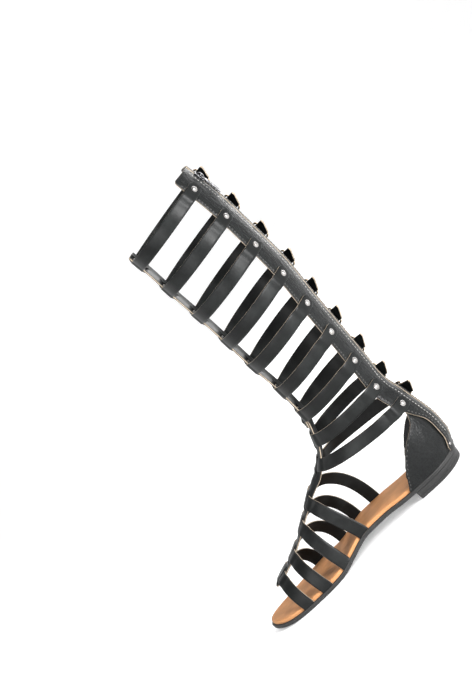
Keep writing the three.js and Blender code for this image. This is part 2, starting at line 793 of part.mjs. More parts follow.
function shaftStrapRows(strap) {
  const place = fastenings(strap);
  const start = place.rivet - STRAP_PAST_RIVET;
  const rail = BUCKLE_LENGTH / 2;
  const half = STRAP_WIDTH / 2;
  const strip = STRIP_WIDTH / 2;
  const stops = [
    ...spread(start, place.rivet + STRAP_STEP, STRAP_CLOSE_STEP),
    ...spread(place.rivet + 2 * STRAP_STEP, -strip - STRAP_CLOSE_STEP, STRAP_STEP),
    ...weaveStops(strip),
    ...spread(strip + STRAP_CLOSE_STEP, place.bar - 3 * rail, STRAP_STEP),
    place.bar - 2 * rail, place.bar - 1.4 * rail, place.bar - rail, place.bar - 5, place.bar - 1.6,
  ];
  const rows = stops.map((far) => {
    const here = pathAt(place.path, far);
    const lift = weaveLift(far, strip) + fasteningLift(place, far);
    return { ...here, lift, low: -half, high: half };
  });
  const bar = pathAt(place.path, place.bar);
  const splay = THREE.MathUtils.degToRad(TAIL_SPLAY);
  const cut = rail + TAIL_LENGTH - TAIL_TIP;
  for (const far of [1.6, 5, rail, (rail + cut) / 2, cut, cut + TAIL_TIP / 2, cut + TAIL_TIP]) {
    const past = Math.max(0, far - rail - 2);
    const bend = splay * blend(rail, cut, far);
    const lift = fasteningLift(place, place.bar + far);
    const at = bar.at.clone().addScaledVector(bar.along, far)
      .addScaledVector(bar.out, past * Math.tan(bend));
    const out = bar.out.clone().multiplyScalar(Math.cos(bend)).addScaledVector(bar.along, -Math.sin(bend));
    const pointed = THREE.MathUtils.clamp((far - cut) / TAIL_TIP, 0, 1);
    rows.push({ at, out, up: bar.up, lift, low: -half + pointed * (STRAP_WIDTH - 3), high: half });
  }
  return rows;
}

function footStrapRows(strap) {
  const half = STRAP_WIDTH / 2;
  const skin = (swing) => {
    const medial = swing < Math.PI / 2;
    const slant = medial ? 1 - Math.sin(swing) : Math.abs(Math.cos(swing)) ** 1.3;
    const end = medial ? strap.medial : strap.lateral;
    const along = THREE.MathUtils.lerp(strap.crossing, end, slant);
    return { at: footPoint(along, swing), out: footNormal(along, swing) };
  };
  const swings = spread(0, Math.PI, Math.PI / 180);
  const path = swings.map((swing) => ({ ...skin(swing), far: 0 }));
  const middle = (path.length - 1) / 2;
  for (let i = middle + 1; i < path.length; i += 1) {
    path[i].far = path[i - 1].far + path[i].at.distanceTo(path[i - 1].at);
  }
  for (let i = middle - 1; i >= 0; i -= 1) {
    path[i].far = path[i + 1].far - path[i].at.distanceTo(path[i + 1].at);
  }
  const strip = TOE_STRIP_WIDTH / 2 + 1;
  const start = path[0].far;
  const end = path[path.length - 1].far;
  const stops = [
    ...spread(start, -strip - STRAP_CLOSE_STEP, STRAP_CLOSE_STEP + 1),
    ...weaveStops(strip),
    ...spread(strip + STRAP_CLOSE_STEP, end, STRAP_CLOSE_STEP + 1),
  ];
  return stops.map((far) => {
    const here = pathAt(path, far);
    return { ...here, lift: weaveLift(far, strip), low: -half, high: half };
  });
}

// A foot strap stands on the ledge of the outsole, cut level with it
function footStrap(strap) {
  const geometry = strapSheet(footStrapRows(strap));
  const place = geometry.attributes.position;
  for (let i = 0; i < place.count; i += 1) {
    const floor = soleTop(place.getY(i)) + GAP;
    if (place.getZ(i) < floor + 2.5) place.setZ(i, floor);
  }
  return geometry;
}

// The two ladders of straps

function strapCrossings(ladder) {
  return SHAFT_STRAPS.filter((strap) => strap.ladder === ladder)
    .map((strap) => legPoint(SEAT + strap.front * SHAFT_RISE, Math.PI));
}

function localFrame(place) {
  const here = pathAt(place.path, place.bar);
  return new THREE.Matrix4().makeBasis(here.along, here.up.clone().negate(), here.out)
    .setPosition(here.at.clone().addScaledVector(here.out, place.step));
}

function prongPoints() {
  const rail = BUCKLE_LENGTH / 2;
  const top = RAIL_LIFT + WIRE_RADIUS + PRONG_RADIUS * 0.6;
  return [
    point(0, 0, BAR_LIFT),
    point(-2, 0, BAR_LIFT + 0.2),
    point(-rail + 0.5, 0, top),
    point(-rail - 1.6, 0, top - 0.5),
  ];
}

function rivetFrame(place) {
  const here = pathAt(place.path, place.rivet);
  return new THREE.Matrix4().makeBasis(here.up, here.out, here.along.clone().negate())
    .setPosition(here.at.clone().addScaledVector(here.out, place.step));
}

function rivetHole(place) {
  return new THREE.CylinderGeometry(SHANK_RADIUS + GAP, SHANK_RADIUS + GAP, RIVET_HOLE_DEPTH, 8)
    .applyMatrix4(rivetFrame(place));
}

function shaftLadder() {
  const joint = SEAT + JOINT_UP * SHAFT_RISE;
  const stops = frontLine().filter((stop) => stop.at.z >= joint && stop.onShaft)
    .filter((_, i) => i % STRIP_ROW_STEP === 0);
  const straps = SHAFT_STRAPS.filter((strap) => strap.ladder === 'shaft');
  const lapped = (stop) => 1 - blend(joint + JOINT_LAP + 1, joint + 2 * JOINT_LAP, stop.at.z);
  const lift = (stop) => (STRIP_THICK + GAP) * lapped(stop);
  const strip = frontStrip(stops, strapCrossings('shaft'), () => STRIP_WIDTH, lift);
  const solid = join([strip, ...straps.map((strap) => strapSheet(shaftStrapRows(strap)))]);
  return toGeometry(cut(solid, strapCutters(straps)));
}

function strapCutters(straps) {
  return straps.map(fastenings).flatMap((place) => [
    rivetHole(place),
    bar(prongPoints(), PRONG_RADIUS + GAP, 6, false).applyMatrix4(localFrame(place)),
  ]);
}

function instepLadder() {
  const top = SEAT + JOINT_UP * SHAFT_RISE + JOINT_LAP;
  const stops = frontLine().filter((stop) => stop.at.z <= top)
    .filter((_, i) => i % STRIP_ROW_STEP === 0);
  const straps = SHAFT_STRAPS.filter((strap) => strap.ladder === 'instep');
  const toeEnd = stops[stops.length - 1].at;
  const widthAt = (stop) => {
    const along = (stop.at.y + HEEL_CENTRE) / SOLE_LENGTH;
    const width = THREE.MathUtils.lerp(STRIP_WIDTH, TOE_STRIP_WIDTH, blend(ANKLE_FRONT, 0.6, along));
    const tip = Math.min(1, (toeEnd.distanceTo(stop.at) + 1.5) / (TOE_STRIP_WIDTH / 2));
    return Math.max(SLIT_SPREAD + 2, width * Math.sqrt(1 - (1 - tip) ** 2));
  };
  const crossings = [
    ...strapCrossings('instep'),
    ...FOOT_STRAPS.map((strap) => instepCrown(strap.crossing)),
  ];
  const strip = frontStrip(stops, crossings, widthAt, () => 0);
  const solid = join([
    strip,
    ...straps.map((strap) => strapSheet(shaftStrapRows(strap))),
    ...FOOT_STRAPS.map(footStrap),
  ]);
  return toGeometry(cut(solid, strapCutters(straps)));
}

// The back: two strips with the zip between them, over the two halves of the heel counter

const BACK_HEIGHTS = [
  ...spread(SEAT + GAP, COUNTER_HEIGHT, BACK_CLOSE_STEP),
  ...spread(COUNTER_HEIGHT + COUNTER_RAMP / 2, COUNTER_HEIGHT + 2.5 * COUNTER_RAMP, BACK_CLOSE_STEP),
  ...spread(COUNTER_HEIGHT + 3.5 * COUNTER_RAMP, SHAFT_HEIGHT - 2 * ZIP_TOP_MARGIN, BACK_STEP),
];

// Half of the heel counter; the lowest rivet goes through its hidden top
function counter(side) {
  const heights = BACK_HEIGHTS.filter((height) => height <= COUNTER_HEIGHT);
  const rear = ZIP_OPENING / 2 + COUNTER_FROM_ZIP;
  const front = (height) => Math.max(rear + COUNTER_LEAST, counterReach(height));
  const from = (height) => (side > 0 ? rear : -front(height));
  const to = (height) => (side > 0 ? front(height) : -rear);
  const panel = legPatch(heights, from, to, COUNTER_COLUMNS, () => 0, () => COUNTER_THICK);
  return side > 0 ? panel : riveted(panel);
}

// Distance round the form from the middle of the back to the front edge of the counter
function counterReach(height) {
  const up = (height - SEAT) / (COUNTER_HEIGHT - SEAT);
  const along = read(COUNTER_EDGE, 'up', 'along', up) * COUNTER_LENGTH;
  const step = 0.01;
  let angle = 0;
  let total = 0;
  while (legPoint(height, angle).y + HEEL_CENTRE < along) {
    total += legPoint(height, angle + step).distanceTo(legPoint(height, angle));
    angle += step;
  }
  return total;
}

// A piece with the holes of all the rivets
function riveted(geometry) {
  return toGeometry(cut(toSolid(geometry), SHAFT_STRAPS.map(fastenings).map(rivetHole)));
}

function backStrip(side) {
  const opening = (height) => blend(ZIP_BOTTOM - BACK_CORNER, ZIP_BOTTOM, height);
  const inner = (height) => THREE.MathUtils.lerp(GAP / 2, ZIP_OPENING / 2, opening(height));
  const corner = (height) => BACK_CORNER * blend(SHAFT_HEIGHT - BACK_CORNER - 1, SHAFT_HEIGHT, height);
  const outer = (height) => backEdge(height) - corner(height);
  const from = (height) => (side > 0 ? inner(height) : -outer(height));
  const to = (height) => (side > 0 ? outer(height) : -inner(height));
  const heights = [...BACK_HEIGHTS, SHAFT_HEIGHT - BACK_CORNER, SHAFT_HEIGHT];
  const face = (height) => heelStep(height) + BACK_THICK;
  const strip = legPatch(heights, from, to, BACK_COLUMNS, heelStep, face);
  return side > 0 ? strip : riveted(strip);
}

// Woven tape with the closed row of teeth standing up along its middle
function zipChain() {
  const [edge, teeth] = [TAPE_WIDTH / 2, TEETH_WIDTH / 2];
  const places = [-edge, -teeth - 0.2, -teeth, teeth, teeth + 0.2, edge];
  const heights = BACK_HEIGHTS.filter((height) => height > ZIP_BOTTOM);
  return sheet([...heights, SHAFT_HEIGHT - ZIP_TOP_MARGIN].map((height) => places.map((place) => {
    const skin = legSkin(height, place);
    const top = Math.abs(place) <= teeth ? heelStep(height) + TEETH_HEIGHT : -GAP;
    return {
      inner: skin.at.clone().addScaledVector(skin.out, -GAP - TAPE_THICK),
      outer: skin.at.clone().addScaledVector(skin.out, top),
    };
  })));
}

// Frame on the zip at a height: x to the side, y up the zip, z out
function zipFrame(height) {
  const out = legNormal(height, 0);
  const across = point(1, 0, 0);
  const along = out.clone().cross(across).normalize();
  return new THREE.Matrix4().makeBasis(across, along, out).setPosition(legPoint(height, 0));
}

function block(width, length, low, high, y) {
  return new THREE.BoxGeometry(width, length, high - low).translate(0, y, (low + high) / 2);
}

function zipSlider() {
  const flange = (SLIDER_WIDTH - TEETH_WIDTH) / 2 - GAP;
  const wall = (side) => block(flange, SLIDER_LENGTH, 0, SLIDER_TOP, 0)
    .translate((side * (SLIDER_WIDTH - flange)) / 2, 0, 0);
  const crest = SLIDER_TOP + BRIDGE_RISE;
  const toPost = (BRIDGE_LENGTH - BRIDGE_POST) / 2;
  const post = (side) => block(BRIDGE_WIDTH, BRIDGE_POST, SLIDER_TOP - FUSE, crest, side * toPost);
  const beam = block(BRIDGE_WIDTH, BRIDGE_LENGTH, crest - BRIDGE_THICK, crest, 0);
  const plate = block(SLIDER_WIDTH, SLIDER_LENGTH, SLIDER_BASE, SLIDER_TOP, 0);
  return toGeometry(join([plate, wall(-1), wall(1), post(-1), post(1), beam]))
    .applyMatrix4(zipFrame(SLIDER_HEIGHT));
}

// The pull hangs from a pin under the bridge; two arms pass beside the bridge
function zipPull() {
  const reach = BRIDGE_LENGTH / 2 + PULL_PAST_BRIDGE;
  const low = PIN_LIFT - PIN_RADIUS;
  const high = low + PULL_THICK;
  const spanWidth = BRIDGE_WIDTH + 2 * GAP + 2 * PULL_ARM;
  const side = (way) => block(PULL_ARM, reach, low, high, -reach / 2)
    .translate((way * (spanWidth - PULL_ARM)) / 2, 0, 0);
  const pin = new THREE.CylinderGeometry(PIN_RADIUS, PIN_RADIUS, spanWidth, PIN_SIDES)
    .rotateZ(Math.PI / 2)
    .translate(0, 0, PIN_LIFT);
  const plate = block(PULL_WIDTH, PULL_LENGTH - reach, low, high, FUSE - (PULL_LENGTH + reach) / 2);
  return toGeometry(join([pin, side(-1), side(1), plate])).applyMatrix4(zipFrame(SLIDER_HEIGHT));
}

// Small metal

function rivet(place) {
  const low = -2 * GAP - place.step;
  const seat = BACK_THICK + 2 * GAP + STRAP_THICK + GAP;
  const profile = [
    [0, low - WASHER_THICK], [RIVET_RADIUS, low - WASHER_THICK], [RIVET_RADIUS, low],
    [SHANK_RADIUS, low], [SHANK_RADIUS, seat], [RIVET_RADIUS, seat],
    [RIVET_RADIUS * 0.8, seat + RIVET_DOME * 0.65], [0, seat + RIVET_DOME],
  ].map(([radius, height]) => new THREE.Vector2(radius, height));
  const lathe = new THREE.LatheGeometry(profile, 8);
  return toGeometry(toSolid(lathe)).applyMatrix4(rivetFrame(place));
}

function buckle(place) {
  const [rail, half] = [BUCKLE_LENGTH / 2, BUCKLE_HEIGHT / 2];
  const [x, y] = [rail - BUCKLE_CORNER, half - BUCKLE_CORNER];
  const corners = [[x, y, 0], [-x, y, 1], [-x, -y, 2], [x, -y, 3]];
  const loop = corners.flatMap(([cx, cy, quarter]) => [quarter, quarter + 1].map((turns) => {
    const turn = (turns * Math.PI) / 2;
    return point(cx + BUCKLE_CORNER * Math.cos(turn), cy + BUCKLE_CORNER * Math.sin(turn), 0);
  }));
  loop.splice(2, 0, point(0, half, 0));
  loop.splice(7, 0, point(0, -half, 0));
  for (const at of loop) at.z = BAR_LIFT + (RAIL_LIFT - BAR_LIFT) * Math.min(1, (at.x / rail) ** 2);
  const centre = [point(0, -half, BAR_LIFT), point(0, half, BAR_LIFT)];
  return toGeometry(join([
    bar(loop, WIRE_RADIUS, 5, true),
    bar(centre, BAR_RADIUS, 5, false),
    bar(prongPoints(), PRONG_RADIUS, 5, false),
  ])).applyMatrix4(localFrame(place));
}

// Leather tab on the lateral back strip, folded round the bar of its buckle
function buckleTab(place) {
  const rows = spread(-BAR_RADIUS - GAP, TAB_LENGTH, STRAP_CLOSE_STEP).map((far) => {
    const here = pathAt(place.path, place.bar + far);
    const lift = BACK_THICK + 1.3 * GAP + place.step;
    return [-TAB_WIDTH / 2, TAB_WIDTH / 2].map((edge) => {
      const base = here.at.clone().addScaledVector(here.up, edge);
      return {
        inner: base.clone().addScaledVector(here.out, lift),
        outer: base.clone().addScaledVector(here.out, lift + TAB_THICK),
      };
    });
  });
  const bore = BAR_RADIUS + GAP;
  const rim = bore + TAB_THICK;
  const length = (TAB_WIDTH - TAB_SLOT) / 2;
  const profile = [[bore, 0], [rim, 0], [rim, length], [bore, length], [bore, 0]]
    .map(([radius, height]) => new THREE.Vector2(radius, height));
  const loops = [TAB_SLOT / 2, -TAB_SLOT / 2 - length].map((start) => new THREE.LatheGeometry(profile, 6)
    .translate(0, start, 0)
    .translate(0, 0, BAR_LIFT)
    .applyMatrix4(localFrame(place)));
  return toGeometry(join([sheet(rows), ...loops]));
}

// Small domed stud standing off a surface
function stud(at, out, lift) {
  const profile = [[0, 0], [STUD_RADIUS, 0], [STUD_RADIUS * 0.8, STUD_RADIUS * 0.5], [0, STUD_RADIUS * 0.7]]
    .map(([radius, height]) => new THREE.Vector2(radius, height));
  const turn = new THREE.Quaternion().setFromUnitVectors(point(0, 1, 0), out);
  const seat = at.clone().addScaledVector(out, lift);
  return toGeometry(toSolid(new THREE.LatheGeometry(profile, 8)))
    .applyMatrix4(new THREE.Matrix4().makeRotationFromQuaternion(turn).setPosition(seat));
}

function seamStud(side) {
  const height = SEAT + 6;
  const skin = legSkin(height, side * (backEdge(height) - 2.6));
  return stud(skin.at, skin.out, heelStep(height) + BACK_THICK + GAP);
}

function jointStud(side) {
  const up = JOINT_UP + 5 / SHAFT_RISE;
  const stop = { at: legPoint(SEAT + up * SHAFT_RISE, Math.PI) };
  const skin = frontSkin(stop, side * STRIP_WIDTH * 0.28);
  return stud(skin.at, skin.out, 2 * STRIP_THICK + 3 * GAP);
}

// Colours of the real materials
const LOOKS = {
  smoothLeather: { color: 0x1b1d1d, roughness: 0.42, metalness: 0 },
  grainLeather: { color: 0x242627, roughness: 0.6, metalness: 0 },
  footbed: { color: 0xc98b4e, roughness: 0.6, metalness: 0 },
  rubber: { color: 0x151515, roughness: 0.7, metalness: 0 },
  steel: { color: 0xc9c9c6, roughness: 0.22, metalness: 1 },
  paleGold: { color: 0xd9cdb4, roughness: 0.25, metalness: 1 },
  darkMetal: { color: 0x3a3a3a, roughness: 0.35, metalness: 0.9 },
  tape: { color: 0x121212, roughness: 0.9, metalness: 0 },
};

const group = new THREE.Group();

function add(name, geometry, look) {
  const mesh = new THREE.Mesh(geometry, new THREE.MeshStandardMaterial(LOOKS[look]));
  mesh.name = name;
  group.add(mesh);
}

add('outsole', outsole(), 'rubber');
add('heel_block', heelBlock(), 'rubber');
add('insole', insole(), 'footbed');
add('shaft_straps', shaftLadder(), 'smoothLeather');
add('instep_straps', instepLadder(), 'smoothLeather');
add('back_strip_medial', backStrip(MEDIAL), 'grainLeather');
add('back_strip_lateral', backStrip(LATERAL), 'grainLeather');
add('counter_medial', counter(MEDIAL), 'grainLeather');
add('counter_lateral', counter(LATERAL), 'grainLeather');
add('zip_chain', zipChain(), 'tape');
add('zip_slider', zipSlider(), 'darkMetal');
add('zip_pull', zipPull(), 'darkMetal');
add('seam_stud_medial', seamStud(MEDIAL), 'steel');
add('seam_stud_lateral', seamStud(LATERAL), 'steel');
add('joint_stud_medial', jointStud(MEDIAL), 'steel');
add('joint_stud_lateral', jointStud(LATERAL), 'steel');
SHAFT_STRAPS.map(fastenings).forEach((place, i) => {
  add(`rivet_${i + 1}`, rivet(place), 'steel');
  add(`buckle_${i + 1}`, buckle(place), 'paleGold');
  add(`buckle_tab_${i + 1}`, buckleTab(place), 'grainLeather');
});

export default group;
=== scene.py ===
"""Knee-high gladiator sandal, right shoe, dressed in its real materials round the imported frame."""

import bisect
import functools
import math

import bpy
from mathutils import Matrix, Vector


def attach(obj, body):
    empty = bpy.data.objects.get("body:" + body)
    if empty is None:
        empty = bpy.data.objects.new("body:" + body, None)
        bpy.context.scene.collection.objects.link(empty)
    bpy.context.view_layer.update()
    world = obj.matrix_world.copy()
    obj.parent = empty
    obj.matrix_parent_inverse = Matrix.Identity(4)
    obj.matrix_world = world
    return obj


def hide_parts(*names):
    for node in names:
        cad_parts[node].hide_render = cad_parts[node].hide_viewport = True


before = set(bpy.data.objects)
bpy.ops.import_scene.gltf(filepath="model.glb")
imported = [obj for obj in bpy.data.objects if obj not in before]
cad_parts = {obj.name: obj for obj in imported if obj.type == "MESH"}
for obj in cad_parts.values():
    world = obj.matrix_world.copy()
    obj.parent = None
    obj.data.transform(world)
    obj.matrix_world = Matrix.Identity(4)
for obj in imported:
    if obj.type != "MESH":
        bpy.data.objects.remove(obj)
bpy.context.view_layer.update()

bl_info = {
    "name": "Gladiator sandal",
    "version": (1, 0, 0),
    "blender": (4, 5, 0),
    "location": "View3D > Sidebar > Sandal",
    "description": "Builds a knee-high gladiator sandal with its straps, buckles, zip and sole",
    "category": "Add Mesh",
}

# Sizes are in millimetres in the functions and become metres in the meshes
MM = 0.001

SOLE_LENGTH = 250
BALL_WIDTH = 87
HEEL_WIDTH = 60
HEEL_HEIGHT = 9
HEEL_BLOCK_LENGTH = 53
HEEL_TAPER = 1.6
SOLE_THICK = 4
INSOLE_THICK = 3.5
LEDGE = 2.5
TOE_SPRING = 4.5
EDGE_ROUND = 0.8
HEEL_HOLLOW = 1.2
SPINE_START = 30
SPINE_END = SOLE_LENGTH - 42
SOLE_POINTS = 72
HEEL_POINTS = 40

SHAFT_HEIGHT = 373
CALF_DEPTH = 96
CALF_WIDTH = 97
STRAP_WIDTH = 13
STRAP_THICK = 1.6
STRIP_WIDTH = 25
TOE_STRIP_WIDTH = 20
STRIP_THICK = 1.7
SLIT_SPREAD = 11
BACK_WIDTH = 30
BACK_THICK = 1.8
BACK_CORNER = 4
COUNTER_THICK = 1.6
COUNTER_HEIGHT = 84
COUNTER_LENGTH = 57
COUNTER_FROM_ZIP = 1.5
COUNTER_LEAST = 2
INSTEP_SQUARENESS = 2.2

RIVET_RADIUS = 3.1
RIVET_DOME = 1.7
SHANK_RADIUS = 1.3
RIVET_IN = 6.5
STRAP_PAST_RIVET = 6
BUCKLE_LENGTH = 15
BUCKLE_HEIGHT = 17
BUCKLE_CORNER = 3.2
WIRE_RADIUS = 0.95
BAR_RADIUS = 0.7
PRONG_RADIUS = 0.65
BUCKLE_IN = 5
TAB_THICK = 0.9
TAB_LENGTH = 11
TAB_WIDTH = 11
TAB_SLOT = 3.2
TAIL_LENGTH = 14
TAIL_TIP = 7
TAIL_SPLAY = 9
STUD_RADIUS = 1.5
SEAM_STUD_UP = 6
SEAM_STUD_IN = 2.6
LAP_STUD_UP = 5
LAP_STUD_SHARE = 0.28
ZIP_OPENING = 8
ZIP_BOTTOM = 24
ZIP_TOP_MARGIN = 4
TAPE_WIDTH = 24
TAPE_THICK = 0.8
TEETH_WIDTH = 5.2
TEETH_HEIGHT = 1.2
TOOTH_PITCH = 1.7
SLIDER_LENGTH = 11
SLIDER_THICK = 1.5
BRIDGE_RISE = 3.4
BRIDGE_WIDTH = 2.2
BRIDGE_LENGTH = 8
PIN_RADIUS = 0.6
PULL_LENGTH = 24
PULL_WIDTH = 7
PULL_THICK = 1.2
ARM_RADIUS = 0.6
RIM_RADIUS = 0.3
TAPE_BELOW = 3
CORD_WIDTH = 3.4
CORD_THICK = 1.2
TOOTH_SHARES = (0.56, 0.42)
TOOTH_LIFT = 0.65
TOOTH_OUT = 1.1

STRAP_CROWN = 0.12
STRAP_WAVE = 0.1
FOOT_WAVE = 0.08
SLIT_EDGE = 0.7
SLIT_RAMP = 1.2
HUMP_RAMP = 5
COUNTER_RAMP = 16
GAP = 0.3
FUSE = 0.25
HOLES = 3
HOLE_PITCH = 8
HOLE_RADIUS = 1.1
HOLE_LIFT = 0.12
STITCH_IN = 5.2
EDGE_STITCH_IN = 1.8
OUTER_STITCH_IN = 2.2
COUNTER_STITCH_IN = 2.4
STITCH_SHARE = 0.66
STITCH_THREAD = 0.38
ON_LEATHER = 0.02
STRAP_ROUND = 0.3
STRIP_ROUND = 0.35
BACK_ROUND = 0.4
TAB_ROUND = 0.2

HEEL_CENTRE = HEEL_BLOCK_LENGTH / 2
SEAT = HEEL_HEIGHT + SOLE_THICK
SHAFT_RISE = SHAFT_HEIGHT - SEAT
BAR_LIFT = BACK_THICK + GAP + TAB_THICK + GAP + BAR_RADIUS
STRAP_OVER_BAR = BAR_LIFT + BAR_RADIUS + GAP + TAB_THICK + GAP
STRAP_UNDER_RAIL = BACK_THICK + GAP + TAB_THICK + GAP / 2
RAIL_LIFT = STRAP_UNDER_RAIL + STRAP_THICK + GAP + WIRE_RADIUS
COUNTER_STEP = COUNTER_THICK + 2 * GAP
SLIDER_HEIGHT = SHAFT_HEIGHT - ZIP_TOP_MARGIN - SLIDER_LENGTH
SLIDER_WIDTH = ZIP_OPENING - 2 * GAP
SLIDER_BASE = TEETH_HEIGHT + GAP
SLIDER_TOP = SLIDER_BASE + SLIDER_THICK
PIN_LIFT = SLIDER_TOP + 1.5 * GAP + PIN_RADIUS
HEEL_ROUND = HEEL_WIDTH / 2 / SOLE_LENGTH
TOE_ROUND = 0.15
JOINT_UP = 0.297
JOINT_LAP = 6.5
FRONT_TOP = 0.945
TOE_STRIP_END = 0.862
ANKLE_FRONT = 0.409
ANKLE_UP = 0.208
MEDIAL = -1
LATERAL = 1
SIDES = ((MEDIAL, "medial"), (LATERAL, "lateral"))
ACROSS = Vector((1, 0, 0))

# The camera: picture in pixels, pixels per millimetre, the heel's place in the picture, the
# distance in metres and the height of the sensor in millimetres
PICTURE = (472, 695)
CAMERA_SCALE = 1.06
CAMERA_HEEL = (462, 452)
CAMERA_FAR = 1.7
SENSOR = 24

# The lights aim at one point; name, watts, width, height and place of each, in metres
LIGHT_TARGET = (0, 0.03, 0.17)
LIGHTS = (
    ("key", 10, 0.5, 0.5, (-1.0, -0.9, 1.3)),
    ("back_light", 8, 0.6, 0.6, (1.2, -0.8, 1.3)),
    ("top", 8, 0.8, 0.8, (0.2, 0.5, 1.9)),
    ("gloss_heel", 50, 0.34, 1.1, (-1.0, -1.0, 0.25)),
    ("gloss_toe", 12, 0.3, 1.1, (-1.35, 0.6, 0.3)),
    ("gloss_outer", 9, 0.34, 1.1, (1.3, -0.5, 0.4)))

# Radius and height of the floor's curve in metres, and its depth below the sole and its
# thickness in millimetres
FLOOR = (
    (0, 0), (0.6, 0), (1.6, 0), (2.4, 0), (2.9, 0.06), (3.3, 0.25), (3.6, 0.6), (3.75, 1.1),
    (3.8, 3.2))
FLOOR_DEPTH = 0.05
FLOOR_THICK = 60
GLOW = 0.28


class Table:
    """Rows of named columns, read smoothly between the rows and without overshoot."""

    def __init__(self, names, *rows):
        self.places = [row[0] for row in rows]
        self.columns = {name: [row[i] for row in rows] for i, name in enumerate(names.split())}

    def read(self, name, at):
        places, values = self.places, self.columns[name]
        last = len(places) - 1
        i, t = step_of(places, at)

        def secant(j):
            return (values[j + 1] - values[j]) / (places[j + 1] - places[j])

        def slope(j):
            if j in (0, last):
                return secant(min(j, last - 1))
            before, after = secant(j - 1), secant(j)
            return 0 if before * after <= 0 else 2 * before * after / (before + after)

        span = places[i] - places[i - 1]
        rise = t * t * (3 - 2 * t)
        leave = t * (1 - t) ** 2 * span * slope(i - 1)
        arrive = -t * t * (1 - t) * span * slope(i)
        return values[i - 1] + (values[i] - values[i - 1]) * rise + leave + arrive


SOLE_PLAN = Table(
    "along middle half",
    (0.0, 0.0, 0.345), (0.12, 0.0, 0.345), (0.25, 0.012, 0.328), (0.36, 0.045, 0.311),
    (0.45, 0.055, 0.322), (0.55, 0.04, 0.39), (0.63, 0.015, 0.465), (0.7, -0.005, 0.5),
    (0.78, -0.03, 0.48), (0.88, -0.07, 0.41), (1.0, -0.11, 0.34))
SOLE_PROFILE = Table(
    "along heel spring",
    (0.0, 1.0, 0.0), (0.25, 1.0, 0.0), (0.36, 1.12, 0.0), (0.46, 1.1, 0.0), (0.55, 0.55, 0.0),
    (0.61, 0.1, 0.0), (0.64, 0.0, 0.0), (0.82, 0.0, 0.0), (0.91, 0.0, 0.22), (1.0, 0.0, 1.0))
LAST = Table(
    "up back depth belly heel calf",
    (0.047, -0.017, 1.56, 0.25, 1.03, 0), (0.089, -0.022, 1.51, 0.26, 1.06, 0),
    (0.131, -0.016, 1.46, 0.27, 1.08, 0), (0.178, -0.006, 1.307, 0.33, 0.56, 0.355),
    (0.208, -0.001, 1.066, 0.38, 0.3, 0.51), (0.261, 0.002, 0.911, 0.43, 0, 0.68),
    (0.328, -0.01, 0.844, 0.46, 0, 0.71), (0.422, -0.026, 0.859, 0.47, 0, 0.79),
    (0.519, -0.042, 0.911, 0.47, 0, 0.876), (0.686, -0.07, 0.985, 0.47, 0, 0.98),
    (0.853, -0.074, 1.016, 0.47, 0, 1.0), (1.0, -0.06, 1.01, 0.48, 0, 0.99))
INSTEP = Table(
    "along up crown",
    (0.352, 0.261, 0.0), (0.409, 0.208, 0.0), (0.484, 0.183, -0.01), (0.544, 0.158, -0.025),
    (0.628, 0.122, -0.055), (0.732, 0.084, -0.1), (0.82, 0.0635, -0.14), (0.9, 0.05, -0.165))
COUNTER_EDGE = Table(
    "up along", (0.0, 0.985), (0.25, 0.78), (0.515, 0.455), (0.69, 0.15), (1.0, 0.035))
BACK_PLAN = Table(
    "up width", (0.0, 0.36), (0.1, 0.4), (0.15, 0.62), (0.2, 0.8), (0.4, 0.9), (0.7, 1.0), (1.0, 1.0))

# Inset and height of the rings up the edges: outsole over its underside, insole over its face,
# heel block with its share of the taper first
OUTSOLE_EDGE = ((0.25, 0.25), (0, EDGE_ROUND), (0, 2.1), (0.25, 2.3), (0, 2.5))
INSOLE_EDGE = ((0, -0.7), (0.7, 0), (2.2, 0), (2.4, -0.3), (2.9, -0.3), (3.1, 0), (5, 0))
HEEL_EDGE = ((1, 0, 0.6), (0.6, 0, 3.2), (0.6, 0.25, 3.4), (0.58, 0, 3.6))

# Radius and height of a rivet's head over its seat, as shares of its radius and of its dome;
# the foot of the dome, in millimetres, comes first
RIVET_FOOT = ((0.96, 0), (1, 0.2), (0.95, 0.42), (0.8, 0.48), (0.76, 0.62))
RIVET_HEAD = ((0.66, 0.68), (0.46, 0.9), (0.22, 0.99), (0, 1))
# Radius as a share of the radius of a stud, and height in millimetres
STUD = ((0, 0), (0.9, 0), (1, 0.15), (0.94, 0.42), (0.7, 0.82), (0.35, 1.03), (0, 1.08))
# The same for a punched hole: a thin disc with a raised rim, coloured dark as painted shade where the
# hole's hollow would be
HOLE = ((0, 0.02), (0.75, 0.02), (1, 0.1), (1.2, 0.02), (1.2, -0.2), (0, -0.2))

# Height of each strap at the back and at the front, shares of SHAFT_RISE
SHAFT_STRAPS = [
    (0.953, 0.916), (0.85, 0.814), (0.747, 0.711), (0.647, 0.611), (0.55, 0.517),
    (0.453, 0.42), (0.356, 0.336), (0.264, 0.264), (0.18, 0.207)]
SHAFT_LADDER_STRAPS = 7
# Medial end, crossing and lateral end of each foot strap, shares of SOLE_LENGTH
FOOT_STRAPS = [
    (0.468, 0.544, 0.396), (0.592, 0.628, 0.5), (0.7, 0.732, 0.608), (0.8, 0.82, 0.744)]


def clamp(value, low=0.0, high=1.0):
    return min(max(value, low), high)


def mix(a, b, t):
    return a + (b - a) * t


def step_of(steps, at):
    """Number of the step that a place lies before, and its share of the way there."""
    i = min(max(bisect.bisect_left(steps, at), 1), len(steps) - 1)
    return i, clamp((at - steps[i - 1]) / (steps[i] - steps[i - 1]))


def ease(low, high, at):
    t = clamp((at - low) / (high - low))
    return t * t * (3 - 2 * t)


def spread(start, end, step):
    count = max(1, round(abs(end - start) / step))
    return [start + (end - start) * i / count for i in range(count + 1)]


# The form of the sole

